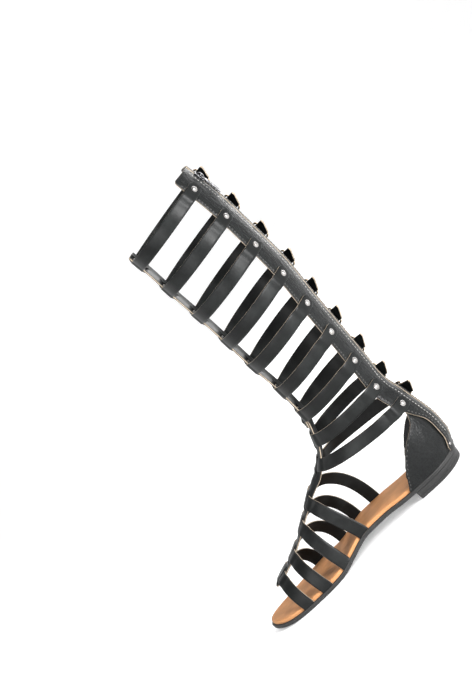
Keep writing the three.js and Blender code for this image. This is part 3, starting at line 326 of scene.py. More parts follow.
def sole_half(along):
    heel = min(1, along / HEEL_ROUND)
    toe = min(1, (1 - along) / TOE_ROUND)
    rounded = math.sqrt(max(0, 1 - (1 - heel) ** 2)) * math.sqrt(max(0, 1 - (1 - toe) ** 2))
    heel_share = HEEL_WIDTH / (2 * SOLE_PLAN.columns["half"][0] * BALL_WIDTH)
    scale = mix(heel_share, 1, ease(HEEL_ROUND, ANKLE_FRONT, along))
    return SOLE_PLAN.read("half", along) * BALL_WIDTH * rounded * scale


def outline_point(turn, side):
    along = (1 - math.cos(turn * math.pi)) / 2
    middle = SOLE_PLAN.read("middle", along) * BALL_WIDTH
    return Vector((middle + side * sole_half(along), along * SOLE_LENGTH - HEEL_CENTRE, 0))


@functools.lru_cache(None)
def inset_outline(turn, side, inset):
    step = 0.004
    before, after = outline_point(turn - step, side), outline_point(turn + step, side)
    if turn <= step:
        before = outline_point(step - turn, -side)
    if turn >= 1 - step:
        after = outline_point(2 - step - turn, -side)
    run = (after - before).normalized()
    return outline_point(turn, side) + Vector((-side * run.y, side * run.x, 0)) * inset


def along_sole(y):
    return (y + HEEL_CENTRE) / SOLE_LENGTH


def sole_under(y):
    along = along_sole(y)
    heel, spring = (SOLE_PROFILE.read(name, along) for name in ("heel", "spring"))
    return heel * HEEL_HEIGHT + spring * TOE_SPRING


def sole_top(y):
    return sole_under(y) + SOLE_THICK


@functools.lru_cache(None)
def sole_edge(y, side, inset):
    low, high = 0.0, 1.0
    for _ in range(24):
        middle = (low + high) / 2
        if inset_outline(middle, side, inset).y < y:
            low = middle
        else:
            high = middle
    return inset_outline((low + high) / 2, side, inset).x


# The form of the leg; angle 0 is the middle of the back, pi the middle of the front

@functools.lru_cache(None)
def last_section(height):
    up = (height - SEAT) / SHAFT_RISE
    back = LAST.read("back", up) * SOLE_LENGTH
    depth = LAST.read("depth", up) * CALF_DEPTH
    width = (LAST.read("heel", up) * HEEL_WIDTH + LAST.read("calf", up) * CALF_WIDTH) / 2
    section = (back, back + depth * LAST.read("belly", up), back + depth, width)
    seat = (LEDGE - 2 * GAP, HEEL_WIDTH / 2, section[2], HEEL_WIDTH / 2 - LEDGE + 2 * GAP)
    to_seat = 1 - ease(0, LAST.places[0], up)
    return tuple(mix(a, b, to_seat) for a, b in zip(section, seat))


def leg_point(height, angle):
    back, middle, front, width = last_section(height)
    reach = middle - back if math.cos(angle) > 0 else front - middle
    return Vector((width * math.sin(angle), middle - reach * math.cos(angle) - HEEL_CENTRE, height))


def leg_normal(height, angle):
    step = 0.01
    around = leg_point(height, angle + step) - leg_point(height, angle - step)
    rise = leg_point(height + 1, angle) - leg_point(height - 1, angle)
    out = around.cross(rise).normalized()
    out.z *= ease(SEAT, SEAT + INSOLE_THICK * 3, height)
    return out.normalized()


@functools.lru_cache(None)
def leg_ring(height):
    """Distance round the form from the middle of the back, at even steps of a half turn."""
    steps = 120
    points = [leg_point(height, math.pi * i / steps) for i in range(steps + 1)]
    far = [0.0]
    for before, after in zip(points, points[1:]):
        far.append(far[-1] + (after - before).length)
    return far


def leg_skin(height, distance):
    far = leg_ring(height)
    i, t = step_of(far, abs(distance))
    share = (i - 1 + t) / (len(far) - 1)
    angle = math.copysign(math.pi * share, distance)
    return leg_point(height, angle), leg_normal(height, angle)


# The form of the foot; swing 0 is the medial edge of the sole, pi the lateral edge

def instep_crown(along):
    return Vector((INSTEP.read("crown", along) * BALL_WIDTH, along * SOLE_LENGTH - HEEL_CENTRE,
                   SEAT + INSTEP.read("up", along) * SHAFT_RISE))


def foot_point(along, swing):
    crown = instep_crown(along)
    edge = sole_edge(crown.y, MEDIAL if swing < math.pi / 2 else LATERAL, LEDGE - 2.4 * GAP)
    power = 2 / INSTEP_SQUARENESS
    out = abs(math.cos(swing)) ** power
    rise = abs(math.sin(swing)) ** power
    return Vector((mix(crown.x, edge, out), crown.y, mix(sole_top(crown.y) + GAP, crown.z, rise)))


def foot_normal(along, swing):
    step = 0.02
    low = clamp(swing, step, math.pi - step)
    around = foot_point(along, low + step) - foot_point(along, low - step)
    run = foot_point(along + step / 2, low) - foot_point(along - step / 2, low)
    out = around.cross(run).normalized()
    out.z *= ease(0, 0.35, math.sin(swing))
    return out.normalized()


@functools.lru_cache(None)
def foot_arc(along, side):
    step = 0.02
    swings, far = [math.pi / 2], [0.0]
    here = foot_point(along, swings[0])
    while far[-1] < STRIP_WIDTH:
        swings.append(swings[-1] + step * side)
        after = foot_point(along, swings[-1])
        far.append(far[-1] + (after - here).length)
        here = after
    return swings, far


def foot_swing(along, distance):
    swings, far = foot_arc(along, 1 if distance > 0 else -1)
    i, t = step_of(far, abs(distance))
    return mix(swings[i - 1], swings[i], t)


def front_line():
    step = 0.004
    shaft = [leg_point(SEAT + up * SHAFT_RISE, math.pi) for up in spread(FRONT_TOP, ANKLE_UP, step)]
    foot = [instep_crown(along) for along in spread(ANKLE_FRONT + step, TOE_STRIP_END, step)]
    return shaft + foot


def front_skin(at, across):
    along = along_sole(at.y)
    on_foot = ease(ANKLE_FRONT - 0.03, ANKLE_FRONT + 0.05, along)
    place, out = Vector(), Vector()
    if on_foot < 1:
        angle = math.pi - across / last_section(at.z)[3]
        place += leg_point(at.z, angle) * (1 - on_foot)
        out += leg_normal(at.z, angle) * (1 - on_foot)
    if on_foot > 0:
        swing = foot_swing(along, across)
        place += foot_point(along, swing) * on_foot
        out += foot_normal(along, swing) * on_foot
    return place, out.normalized()


# Paths of the straps

class Path:
    """Places and ways out along a strap, measured from where it crosses the front."""

    def __init__(self, points):
        self.points = points
        middle = (len(points) - 1) // 2
        steps = [(b[0] - a[0]).length for a, b in zip(points, points[1:])]
        self.far = [0.0]
        for step in steps:
            self.far.append(self.far[-1] + step)
        self.far = [far - self.far[middle] for far in self.far]

    def at(self, far):
        i, t = step_of(self.far, far)
        (a, out_a), (b, out_b) = self.points[i - 1], self.points[i]
        along = (b - a).normalized()
        out = out_a.lerp(out_b, t).normalized()
        up = along.cross(out).normalized()
        return a.lerp(b, t), out.cross(up).normalized(), out, up


@functools.lru_cache(None)
def shaft_path(index):
    back_share, front_share = SHAFT_STRAPS[index]
    front, back = SEAT + front_share * SHAFT_RISE, SEAT + back_share * SHAFT_RISE
    y_front, y_back = leg_point(front, math.pi).y, leg_point(back, 0).y
    points = []
    for angle in spread(0, -2 * math.pi, math.pi / 90):
        height = front
        for _ in range(6):
            y = leg_point(height, angle).y
            height = front + (back - front) * (y_front - y) / (y_front - y_back)
        points.append((leg_point(height, angle), leg_normal(height, angle)))
    return Path(points)


@functools.lru_cache(None)
def foot_path(index):
    medial, crossing, lateral = FOOT_STRAPS[index]
    points = []
    for swing in spread(0, math.pi, math.pi / 120):
        inner = swing < math.pi / 2
        slant = 1 - math.sin(swing) if inner else abs(math.cos(swing)) ** 1.3
        along = mix(crossing, medial if inner else lateral, slant)
        points.append((foot_point(along, swing), foot_normal(along, swing)))
    return Path(points)


def back_edge(height):
    return ZIP_OPENING / 2 + BACK_PLAN.read("width", (height - SEAT) / SHAFT_RISE) * BACK_WIDTH


def heel_step(height):
    return COUNTER_STEP * (1 - ease(COUNTER_HEIGHT, COUNTER_HEIGHT + COUNTER_RAMP, height))


class Fastening:
    """Where the rivet and the buckle of a shaft strap sit on its path."""

    def __init__(self, index):
        self.index = index
        self.path = shaft_path(index)
        self.height = SEAT + SHAFT_STRAPS[index][0] * SHAFT_RISE
        self.edge = self.path.far[-1] - back_edge(self.height)
        self.rivet = -(self.edge + RIVET_IN)
        self.bar = self.edge + BUCKLE_IN
        self.step = heel_step(self.height)

    def lift(self, far):
        over = BACK_THICK + 2 * GAP + self.step
        if far < 0:
            return over * ease(self.edge - 12, self.edge - 4, -far)
        rail = BUCKLE_LENGTH / 2
        low = (STRAP_UNDER_RAIL + self.step) * ease(self.bar - rail - 14, self.bar - rail - 3, far)
        over_bar = 1 - ease(1.6, rail - 1.6, abs(far - self.bar))
        return low + (STRAP_OVER_BAR - STRAP_UNDER_RAIL) * over_bar

    def wave(self, far):
        """Soft rise and fall of the worn strap, none where it crosses the heel counter."""
        wave = STRAP_WAVE * (1 + math.sin(far / 8 + self.index * 1.7))
        return wave * (1 - ease(0, 8, self.step))

    def bar_frame(self):
        at, along, out, up = self.path.at(self.bar)
        return basis(along, -up, out, at + out * self.step)

    def rivet_frame(self):
        at, along, out, up = self.path.at(self.rivet)
        return basis(up, along, out, at + out * self.step)


def basis(x, y, z, at):
    """Matrix that takes millimetres on local axes to metres in the frame of the sandal."""
    turn = Matrix((x, y, z)).transposed().to_4x4()
    return Matrix.Translation(at * MM) @ turn @ Matrix.Scale(MM, 4)


def weave_lift(distance, half):
    slit = SLIT_SPREAD / 2
    out = ease(slit - SLIT_RAMP, slit + SLIT_RAMP, abs(distance))
    return (STRIP_THICK - FUSE) * out * (1 - ease(half + GAP, half + HUMP_RAMP, abs(distance)))


# Meshes

def select_only(*pieces):
    bpy.ops.object.select_all(action="DESELECT")
    for piece in pieces:
        piece.select_set(True)
    bpy.context.view_layer.objects.active = pieces[0]


def close_mesh(piece, angle):
    """Merges equal points, closes the ends, turns the faces out and shades them."""
    select_only(piece)
    bpy.ops.object.mode_set(mode="EDIT")
    bpy.ops.mesh.select_all(action="SELECT")
    bpy.ops.mesh.remove_doubles(threshold=2e-6)
    bpy.ops.mesh.fill_holes(sides=0)
    bpy.ops.mesh.select_all(action="SELECT")
    bpy.ops.mesh.normals_make_consistent(inside=False)
    bpy.ops.object.mode_set(mode="OBJECT")
    bpy.ops.object.shade_smooth_by_angle(angle=math.radians(angle))


def laid_grid(name, rings, matrix=None, edges=(), angle=50):
    """A grid laid as rings of points in millimetres, closed round each ring and at both ends.

    Faces between the ring places named in edges, and the end faces, take the second material.
    """
    matrix = matrix or Matrix.Scale(MM, 4)
    rows, columns = len(rings) - 1, len(rings[0])
    bpy.ops.object.select_all(action="DESELECT")
    bpy.ops.mesh.primitive_grid_add(x_subdivisions=columns, y_subdivisions=rows, size=2)
    piece = bpy.context.object
    mesh = piece.data
    piece.name = mesh.name = name
    spots = [(round((v.co.y + 1) / 2 * rows), round((v.co.x + 1) / 2 * columns))
             for v in mesh.vertices]
    if len(mesh.vertices) != (rows + 1) * (columns + 1):
        raise RuntimeError(f"{name}: the grid has {len(mesh.vertices)} points")
    along, around = [0.0], [0.0]
    for before, after in zip(rings, rings[1:]):
        along.append(along[-1] + (after[0] - before[0]).length)
    half = rings[rows // 2]
    for j in range(columns):
        around.append(around[-1] + (half[(j + 1) % columns] - half[j]).length)
    marks = mesh.uv_layers.active.data
    for face in mesh.polygons:
        corners = [spots[i] for i in face.vertices]
        face.material_index = int(min(j for _, j in corners) in edges)
        for loop, (i, j) in zip(face.loop_indices, corners):
            marks[loop].uv = (along[i] * MM, around[j] * MM)
    for vertex, (i, j) in zip(mesh.vertices, spots):
        vertex.co = matrix @ rings[i][j % columns]
    close_mesh(piece, angle)
    if edges:
        for face in piece.data.polygons:
            if len(face.vertices) > 4:
                face.material_index = 1
    return piece


def slab(name, skins, thick, rounding):
    """Sheet of leather; each row of skins holds places on its inner face and the ways out."""
    rings = []
    for row in skins:
        (first, out_first), (last, out_last) = row[0], row[-1]
        step = min(rounding, (row[1][0] - first).length / 2)
        in_first = (row[1][0] - first).normalized() * step
        in_last = (row[-2][0] - last).normalized() * step
        ring = [first + out_first * rounding, first + out_first * (thick - rounding),
                first + in_first + out_first * thick]
        ring += [at + out * thick for at, out in row[1:-1]]
        ring += [last + in_last + out_last * thick, last + out_last * (thick - rounding),
                 last + out_last * rounding, last + in_last]
        ring += [at for at, _ in reversed(row[1:-1])]
        ring.append(first + in_first)
        rings.append(ring)
    return laid_grid(name, rings, edges=(0, len(skins[0]) + 2))


def lathe(name, profile, matrix, segments=28):
    """Round piece from a profile of radii and heights; creases over 35 degrees stay sharp."""
    turns = [2 * math.pi * k / segments for k in range(segments)]
    rings = [[Vector((r * math.cos(t), r * math.sin(t), h)) for t in turns] for r, h in profile]
    return laid_grid(name, rings, matrix, angle=35)


def tube(name, points, radius, matrix, closed=False):
    """Round wire through points, made as a bevelled curve and turned into a mesh."""
    curve = bpy.data.curves.new(name, "CURVE")
    curve.dimensions = "3D"
    curve.bevel_depth = radius * MM
    curve.bevel_resolution = 4
    curve.use_fill_caps = True
    spline = curve.splines.new("POLY")
    spline.points.add(len(points) - 1)
    spline.use_cyclic_u = closed
    for target, at in zip(spline.points, points):
        target.co = (*(matrix @ at), 1)
    piece = bpy.data.objects.new(name, curve)
    bpy.context.scene.collection.objects.link(piece)
    select_only(piece)
    bpy.ops.object.convert(target="MESH")
    piece = bpy.context.object
    close_mesh(piece, 50)
    return piece


def rounded_box(name, size, centre, rounding, matrix):
    """Box of a size in millimetres with bevelled edges, set in a local frame."""
    bpy.ops.object.select_all(action="DESELECT")
    bpy.ops.mesh.primitive_cube_add(size=1)
    piece = bpy.context.object
    piece.name = piece.data.name = name
    bpy.ops.object.mode_set(mode="EDIT")
    bpy.ops.transform.resize(value=size)
    bpy.ops.mesh.bevel(offset=rounding, segments=3, affect="EDGES")
    bpy.ops.object.mode_set(mode="OBJECT")
    piece.data.transform(matrix @ Matrix.Translation(centre))
    bpy.ops.object.shade_smooth_by_angle(angle=math.radians(40))
    return piece


def join_pieces(name, pieces):
    select_only(*pieces)
    if len(pieces) > 1:
        bpy.ops.object.join()
    piece = bpy.context.view_layer.objects.active
    piece.name = piece.data.name = name
    return piece


def scatter(name, base, matrices):
    """One mesh with a copy of the base at each matrix; the base itself goes."""
    source = base.data
    points, faces = [], []
    for matrix in matrices:
        first = len(points)
        points += [matrix @ v.co for v in source.vertices]
        faces += [[first + i for i in face.vertices] for face in source.polygons]
    mesh = bpy.data.meshes.new(name)
    mesh.from_pydata(points, [], faces)
    piece = bpy.data.objects.new(name, mesh)
    bpy.context.scene.collection.objects.link(piece)
    bpy.data.objects.remove(base)
    select_only(piece)
    bpy.ops.object.shade_smooth_by_angle(angle=math.radians(50))
    return piece


def dress(piece, looks, body="shoe", replaces=()):
    """Gives a finished piece its materials and its body, and hides the parts of the frame that it
    replaces.
    """
    marks = [polygon.material_index for polygon in piece.data.polygons]
    piece.data.materials.clear()
    for look in looks:
        piece.data.materials.append(look)
    if len(looks) > 1:
        piece.data.polygons.foreach_set("material_index", marks)
    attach(piece, body)
    if replaces:
        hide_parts(*replaces)
    return piece


# Materials

class Value:
    """A number that runs through a node tree; arithmetic on it adds Math nodes."""

    def __init__(self, finish, socket):
        self.finish = finish
        self.socket = socket

    def math(self, operation, *numbers):
        inputs = dict(enumerate(numbers))
        made = self.finish.node("ShaderNodeMath", {"operation": operation}, inputs)
        return Value(self.finish, made.outputs[0])

    def __add__(self, other):
        return self.math("ADD", self, other)

    def __mul__(self, other):
        return self.math("MULTIPLY", self, other)

    def __rsub__(self, other):
        return self.math("SUBTRACT", other, self)

    __radd__ = __add__
    __rmul__ = __mul__

    def between(self, low, high):
        """0 below low, 1 above high, smooth between."""
        settings = {"interpolation_type": "SMOOTHSTEP"}
        inputs = {"Value": self, "From Min": low, "From Max": high}
        made = self.finish.node("ShaderNodeMapRange", settings, inputs)
        return Value(self.finish, made.outputs["Result"])


class Finish:
    """One material and the nodes that give its look."""

    def __init__(self, name):
        self.material = bpy.data.materials.new(name)
        self.material.use_nodes = True
        self.tree = self.material.node_tree
        self.tree.nodes.clear()
        coordinates = self.node("ShaderNodeTexCoord")
        self.place = coordinates.outputs["Object"]
        self.uv = coordinates.outputs["UV"]

    def node(self, kind, settings=None, inputs=None):
        made = self.tree.nodes.new(kind)
        for name, setting in (settings or {}).items():
            setattr(made, name, setting)
        for name, value in (inputs or {}).items():
            source = value.socket if isinstance(value, Value) else value
            if isinstance(source, bpy.types.NodeSocket):
                self.tree.links.new(source, made.inputs[name])
            else:
                made.inputs[name].default_value = source
        return made

    def stretched(self, source, scale):
        return self.node("ShaderNodeMapping", None, {"Vector": source, "Scale": scale}).outputs[0]

    def noise(self, scale, detail=3.0, source=None):
        inputs = {"Vector": source or self.place, "Scale": scale, "Detail": detail,
                  "Roughness": 0.55}
        return Value(self, self.node("ShaderNodeTexNoise", None, inputs).outputs[0])

    def cells(self, scale, feature):
        inputs = {"Vector": self.place, "Scale": scale}
        made = self.node("ShaderNodeTexVoronoi", {"feature": feature}, inputs)
        return Value(self, made.outputs["Distance"])

    def waves(self, scale, direction):
        inputs = {"Vector": self.uv, "Scale": scale}
        made = self.node("ShaderNodeTexWave", {"bands_direction": direction}, inputs)
        return Value(self, made.outputs["Fac"])

    def blend(self, factor, first, second):
        made = self.node("ShaderNodeMix", {"data_type": "RGBA"}, {0: factor, 6: first, 7: second})
        return made.outputs[2]

    def bump(self, height, depth, strength=0.6):
        """Depth in millimetres of the relief."""
        inputs = {"Height": height, "Distance": depth * MM, "Strength": strength}
        return self.node("ShaderNodeBump", None, inputs).outputs[0]

    def surface(self, **inputs):
        """Ends the tree in a principled shader; names are written with underscores."""
        named = {name.replace("_", " "): value for name, value in inputs.items()}
        shader = self.node("ShaderNodeBsdfPrincipled", None, named)
        output = self.node("ShaderNodeOutputMaterial")
        self.tree.links.new(shader.outputs[0], output.inputs[0])
        return self.material


def shade(colour, factor):
    return tuple(min(1.0, part * factor) for part in colour[:3]) + (1.0,)


def smooth_leather(finish, colour):
    grain = finish.noise(2600, 2)
    cloud = finish.noise(55, 4)
    creases = finish.noise(160, 4, finish.stretched(finish.uv, (6.0, 0.7, 1.0)))
    tone = finish.blend(cloud.between(0.4, 0.75), shade(colour, 0.75), shade(colour, 1.7))
    relief = grain * 0.35 + creases * 1.1 + cloud * 0.5
    return finish.surface(
        Base_Color=tone, Roughness=0.26 + 0.2 * cloud + 0.06 * grain, Specular_IOR_Level=0.16,
        Normal=finish.bump(relief, 0.09, 0.5))


def grain_leather(finish, colour):
    pebbles = finish.cells(1050, "SMOOTH_F1")
    pores = finish.noise(3000, 2)
    cloud = finish.noise(45, 4)
    creases = finish.noise(260, 3, finish.stretched(finish.place, (1.0, 1.0, 0.45)))
    tone = finish.blend((1 - pebbles).between(0.3, 0.8), shade(colour, 0.45), shade(colour, 1.4))
    relief = (1 - pebbles) * 0.8 + pores * 0.2 + cloud + creases * 3.5
    return finish.surface(
        Base_Color=tone, Roughness=0.18 + 0.2 * cloud + 0.08 * pebbles, Specular_IOR_Level=0.18,
        Normal=finish.bump(relief, 0.28, 0.8))


def cut_leather(finish, colour):
    fibres = finish.noise(900, 5, finish.stretched(finish.place, (1.0, 1.0, 2.5)))
    tone = finish.blend(fibres.between(0.35, 0.7), shade(colour, 0.5), colour)
    return finish.surface(Base_Color=tone, Roughness=0.75, Normal=finish.bump(fibres, 0.1))


def footbed_leather(finish, colour):
    grain = finish.noise(1900, 3)
    cloud = finish.noise(38, 4)
    streaks = finish.noise(130, 3, finish.stretched(finish.place, (2.2, 0.5, 1.0)))
    tone = finish.blend(cloud.between(0.35, 0.7), shade(colour, 0.78), shade(colour, 1.14))
    tone = finish.blend(streaks.between(0.55, 0.8) * 0.35, tone, shade(colour, 0.6))
    return finish.surface(
        Base_Color=tone, Roughness=0.6 + 0.15 * cloud, Specular_IOR_Level=0.3,
        Normal=finish.bump(grain + streaks, 0.06, 0.5))


def sole_rubber(finish, colour):
    grain = finish.noise(1500, 4)
    dust = finish.noise(70, 5)
    tone = finish.blend(dust.between(0.5, 0.8), colour, shade(colour, 2.4))
    return finish.surface(
        Base_Color=tone, Roughness=0.5 + 0.25 * dust,
        Normal=finish.bump(grain + 0.5 * dust, 0.08, 0.5))


def polished_metal(finish, colour, roughness):
    smears = finish.noise(240, 4)
    scratches = finish.noise(700, 3, finish.stretched(finish.place, (9.0, 1.0, 1.0)))
    tone = finish.blend(smears.between(0.4, 0.8), colour, shade(colour, 0.8))
    return finish.surface(
        Base_Color=tone, Metallic=1.0, Roughness=roughness + 0.14 * smears,
        Normal=finish.bump(scratches, 0.012, 0.5))


def woven_tape(finish, colour):
    weft = finish.waves(420, "X")
    warp = finish.waves(420, "Y")
    weave = weft * warp
    tone = finish.blend(weave, shade(colour, 0.5), shade(colour, 2.2))
    return finish.surface(
        Base_Color=tone, Roughness=0.85, Normal=finish.bump(weave + 0.3 * finish.noise(2500), 0.15))


def plain_finish(finish, colour, roughness, depth):
    specks = finish.noise(1800, 3)
    tone = finish.blend(specks.between(0.35, 0.7), shade(colour, 0.75), colour)
    return finish.surface(
        Base_Color=tone, Roughness=roughness + 0.1 * specks, Normal=finish.bump(specks, depth, 0.5))


def colour_property(name, description, red, green, blue):
    return bpy.props.FloatVectorProperty(
        name=name, description=description, subtype="COLOR", size=4, min=0, max=1,
        default=(red, green, blue, 1))


def length_property(name, description, default, least):
    return bpy.props.FloatProperty(
        name=name, description=description, subtype="DISTANCE", unit="LENGTH", default=default,
        min=least, max=0.01)


def angle_property(name, description, degrees):
    return bpy.props.FloatProperty(
        name=name, description=description, subtype="ANGLE", unit="ROTATION",
        default=math.radians(degrees))


class SandalLooks(bpy.types.PropertyGroup):
    """Colours of the sandal"""
    leather: colour_property("Strap leather", "Colour of the smooth straps", 0.0062, 0.0069, 0.0069)
    grain: colour_property(
        "Pebbled leather", "Colour of the back strips and the heel counter", 0.0066, 0.0072, 0.0074)
    edge: colour_property("Cut edges", "Colour of the cut edges of the straps", 0.44, 0.36, 0.27)
    footbed: colour_property("Footbed", "Colour of the insole", 0.43, 0.2, 0.078)
    rubber: colour_property("Sole", "Colour of the outsole and the heel", 0.012, 0.012, 0.012)
    thread: colour_property("Thread", "Colour of the stitches", 0.42, 0.41, 0.39)


class SandalSizes(bpy.types.PropertyGroup):
    """Fine sizes of the sandal that its frame leaves free"""
    row_step: length_property("Row step", "Distance between the rows of a strap", 0.0016, 0.0005)
    stitch_pitch: length_property(
        "Stitch pitch", "Distance from one stitch to the next", 0.0033, 0.002)
    camera_roll: angle_property("Camera roll", "How far the shoe leans over in the picture", 47)
    camera_height: angle_property("Camera height", "How far the camera looks down", 8)
    camera_swing: angle_property(
        "Camera swing", "How far the camera stands behind the inner side", 14)


def look(name):
    """The material of a name, made once."""
    made = bpy.data.materials.get(name)
    if made:
        return made
    colours = bpy.context.scene.sandal_looks
    makers = {
        "strap leather": (smooth_leather, colours.leather),
        "pebbled leather": (grain_leather, colours.grain),
        "cut leather edge": (cut_leather, colours.edge),
        "footbed leather": (footbed_leather, colours.footbed),
        "footbed edge": (plain_finish, shade(colours.footbed, 1.2), 0.75, 0.08),
        "sole rubber": (sole_rubber, colours.rubber),
        "thread": (plain_finish, colours.thread, 0.7, 0.1),
        "dark thread": (plain_finish, shade(colours.thread, 0.16), 0.6, 0.1),
        # Punched holes are not cut: a dark disc in painted shade stands for the hollow of each hole
        "painted hole shade": (plain_finish, shade(colours.leather, 0.3), 0.9, 0.05),
        "nickel": (polished_metal, (0.4, 0.385, 0.375, 1), 0.16),
        "champagne": (polished_metal, (0.62, 0.5, 0.36, 1), 0.15),
        "black nickel": (polished_metal, (0.1, 0.1, 0.105, 1), 0.2),
        "woven zip tape": (woven_tape, (0.012, 0.012, 0.013, 1)),
        "zip teeth": (plain_finish, (0.02, 0.02, 0.021, 1), 0.35, 0.04),
    }
    maker, *values = makers[name]
    return maker(Finish(name), *values)


# Rows of the straps and strips

def strap_skins(rows, columns=6):
    """Rows of a strap as (place, out, up, lift, low, high), laid out as places across it."""
    skins = []
    for at, out, up, lift, low, high in rows:
        row = []
        for j in range(columns + 1):
            share = j / columns
            crown = STRAP_CROWN * (1 - (2 * share - 1) ** 2)
            row.append((at + up * mix(low, high, share) + out * (lift + crown), out))
        skins.append(row)
    return skins


def shaft_strap_rows(index, step):
    place = Fastening(index)
    half, strip, rail = STRAP_WIDTH / 2, STRIP_WIDTH / 2, BUCKLE_LENGTH / 2
    rows = []
    for far in spread(place.rivet - STRAP_PAST_RIVET, place.bar + 1.5, step):
        at, _, out, up = place.path.at(far)
        lift = weave_lift(far, strip) + place.lift(far) + place.wave(far)
        tip = ease(0, 2.5, far - place.rivet + STRAP_PAST_RIVET)
        rows.append((at, out, up, lift, -half + 1.5 * (1 - tip), half - 1.5 * (1 - tip)))
    at, along, out, up = place.path.at(place.bar)
    splay = math.radians(TAIL_SPLAY)
    cut = rail + TAIL_LENGTH - TAIL_TIP
    for far in spread(2.5, cut + TAIL_TIP, step / 2):
        bend = splay * ease(rail, cut, far)
        centre = at + along * far + out * max(0, far - rail - 2) * math.tan(bend)
        pointed = clamp((far - cut) / TAIL_TIP)
        rows.append((centre, out * math.cos(bend) - along * math.sin(bend), up,
                     place.lift(place.bar + far), -half + pointed * (STRAP_WIDTH - 3), half))
    return rows


def foot_strap_rows(index, step):
    path = foot_path(index)
    half = STRAP_WIDTH / 2
    rows = []
    for far in spread(path.far[0], path.far[-1], step):
        at, _, out, up = path.at(far)
        wave = FOOT_WAVE * (1 + math.sin(far / 7 + index * 2.1))
        rows.append((at, out, up, weave_lift(far, TOE_STRIP_WIDTH / 2 + 1) + wave, -half, half))
    return rows


def level_with_ledge(skins):
    """The ends of a foot strap stand on the ledge of the outsole."""
    for row in skins:
        for at, _ in row:
            floor = sole_top(at.y) + GAP
            if at.z < floor + 2.5:
                at.z = floor
    return skins


def strip_skins(stops, crossings, width_at, lift_at):
    """Front strip whose middle, between its two slits, arches over every strap."""
    slit = SLIT_SPREAD / 2
    skins = []
    for stop in stops:
        half = width_at(stop) / 2
        near = min((crossing - stop).length for crossing in crossings) - STRAP_WIDTH / 2
        hump = 1 - ease(0, HUMP_RAMP, near)
        along = along_sole(stop.y)
        pleat = 0.2 * ease(0.33, 0.38, along) * (1 - ease(0.42, 0.5, along))
        outer = [mix(-half, -slit - SLIT_EDGE / 3, k / 5) for k in range(6)]
        inner = [mix(-slit, slit, k / 12) for k in range(13)]
        row = []
        for across in outer + inner + [-place for place in reversed(outer)]:
            raised = pleat * (1 + math.sin(across * 2 * math.pi / 4.4))
            if abs(across) <= slit:
                arch = 1 - 0.5 * abs(across / slit) ** 6
                raised += (STRAP_THICK - FUSE + 0.3 * arch) * hump
            at, out = front_skin(stop, across)
            row.append((at + out * (raised + lift_at(stop)), out))
        skins.append(row)
    return skins


def patch_skins(heights, near, far, columns, lift, side=LATERAL):
    """Patch of the leg form between two distances from the middle of the back."""
    skins = []
    for height in heights:
        start, end = sorted((side * near(height), side * far(height)))
        row = []
        for j in range(columns + 1):
            at, out = leg_skin(height, mix(start, end, j / columns))
            row.append((at + out * lift(height), out))
        skins.append(row)
    return skins


@functools.lru_cache(None)
def counter_reach(height):
    up = (height - SEAT) / (COUNTER_HEIGHT - SEAT)
    along = COUNTER_EDGE.read("along", up) * COUNTER_LENGTH
    step, angle, total = 0.01, 0.0, 0.0
    while leg_point(height, angle).y + HEEL_CENTRE < along:
        total += (leg_point(height, angle + step) - leg_point(height, angle)).length
        angle += step
    return max(ZIP_OPENING / 2 + COUNTER_FROM_ZIP + COUNTER_LEAST, total)


def stitch_line(heights, distance, lift):
    """Matrices of stitches that lie along a line up the leg form."""
    places = []
    for height in heights:
        at, out = leg_skin(height, distance(height))
        above, _ = leg_skin(height + 1, distance(height + 1))
        along = (above - at).normalized()
        side = out.cross(along).normalized()
        places.append(basis(along, side, along.cross(side), at + out * lift(height)))
    return places


def stitch_base(length):
    bpy.ops.object.select_all(action="DESELECT")
    bpy.ops.mesh.primitive_uv_sphere_add(segments=8, ring_count=6, radius=1)
    base = bpy.context.object
    base.data.transform(Matrix.Diagonal((length / 2, STITCH_THREAD, STITCH_THREAD * 0.7, 1)))
    return base


def small(step):
    return bpy.context.scene.sandal_sizes.row_step / MM * step


def smooth_sheet(name, skins, thick, rounding, replaces=()):
    looks = [look("strap leather"), look("cut leather edge")]
    dress(slab(name, skins, thick, rounding), looks, replaces=replaces)


def pebbled_sheet(name, skins, thick, replaces):
    looks = [look("pebbled leather"), look("cut leather edge")]
    dress(slab(name, skins, thick, BACK_ROUND), looks, replaces=replaces)


# The sole

def insole_under(y):
    return sole_top(y) + GAP


def insole_top(y):
    return insole_under(y) + INSOLE_THICK


def around_sole(inset, surface, rise=0, share=1.0):
    """Ring round the sole, over a surface; a share under 1 draws it in to the middle line."""
    turns = [k / SOLE_POINTS for k in range(SOLE_POINTS + 1)]
    ring = []
    for side, places in ((LATERAL, turns[:-1]), (MEDIAL, turns[:0:-1])):
        for turn in places:
            at = inset_outline(turn, side, inset).copy()
            level = (at.y + inset_outline(turn, -side, inset).y) / 2
            y = clamp(level, SPINE_START - HEEL_CENTRE, SPINE_END - HEEL_CENTRE)
            along = along_sole(y)
            spine = Vector((SOLE_PLAN.read("middle", along) * BALL_WIDTH, y, 0))
            at = spine.lerp(at, share)
            at.z = surface(at.y) + rise
            ring.append(at)
    return ring


def heel_ring(inset, height, share=1.0):
    """Ring round the heel block, a little hollow at its front."""
    end = math.acos(1 - 2 * HEEL_BLOCK_LENGTH / SOLE_LENGTH) / math.pi
    turns = [end * k / HEEL_POINTS for k in range(HEEL_POINTS + 1)]
    lateral = [inset_outline(turn, LATERAL, inset).copy() for turn in turns]
    medial = [inset_outline(turn, MEDIAL, inset).copy() for turn in turns[:0:-1]]
    front = [lateral[-1].lerp(medial[0], k / 8) for k in range(1, 8)]
    for k, at in enumerate(front):
        at.y -= HEEL_HOLLOW * math.sin(math.pi * (k + 1) / 8)
    ring = lateral + front + medial
    return [Vector((at.x * share, at.y * share, height)) for at in ring]


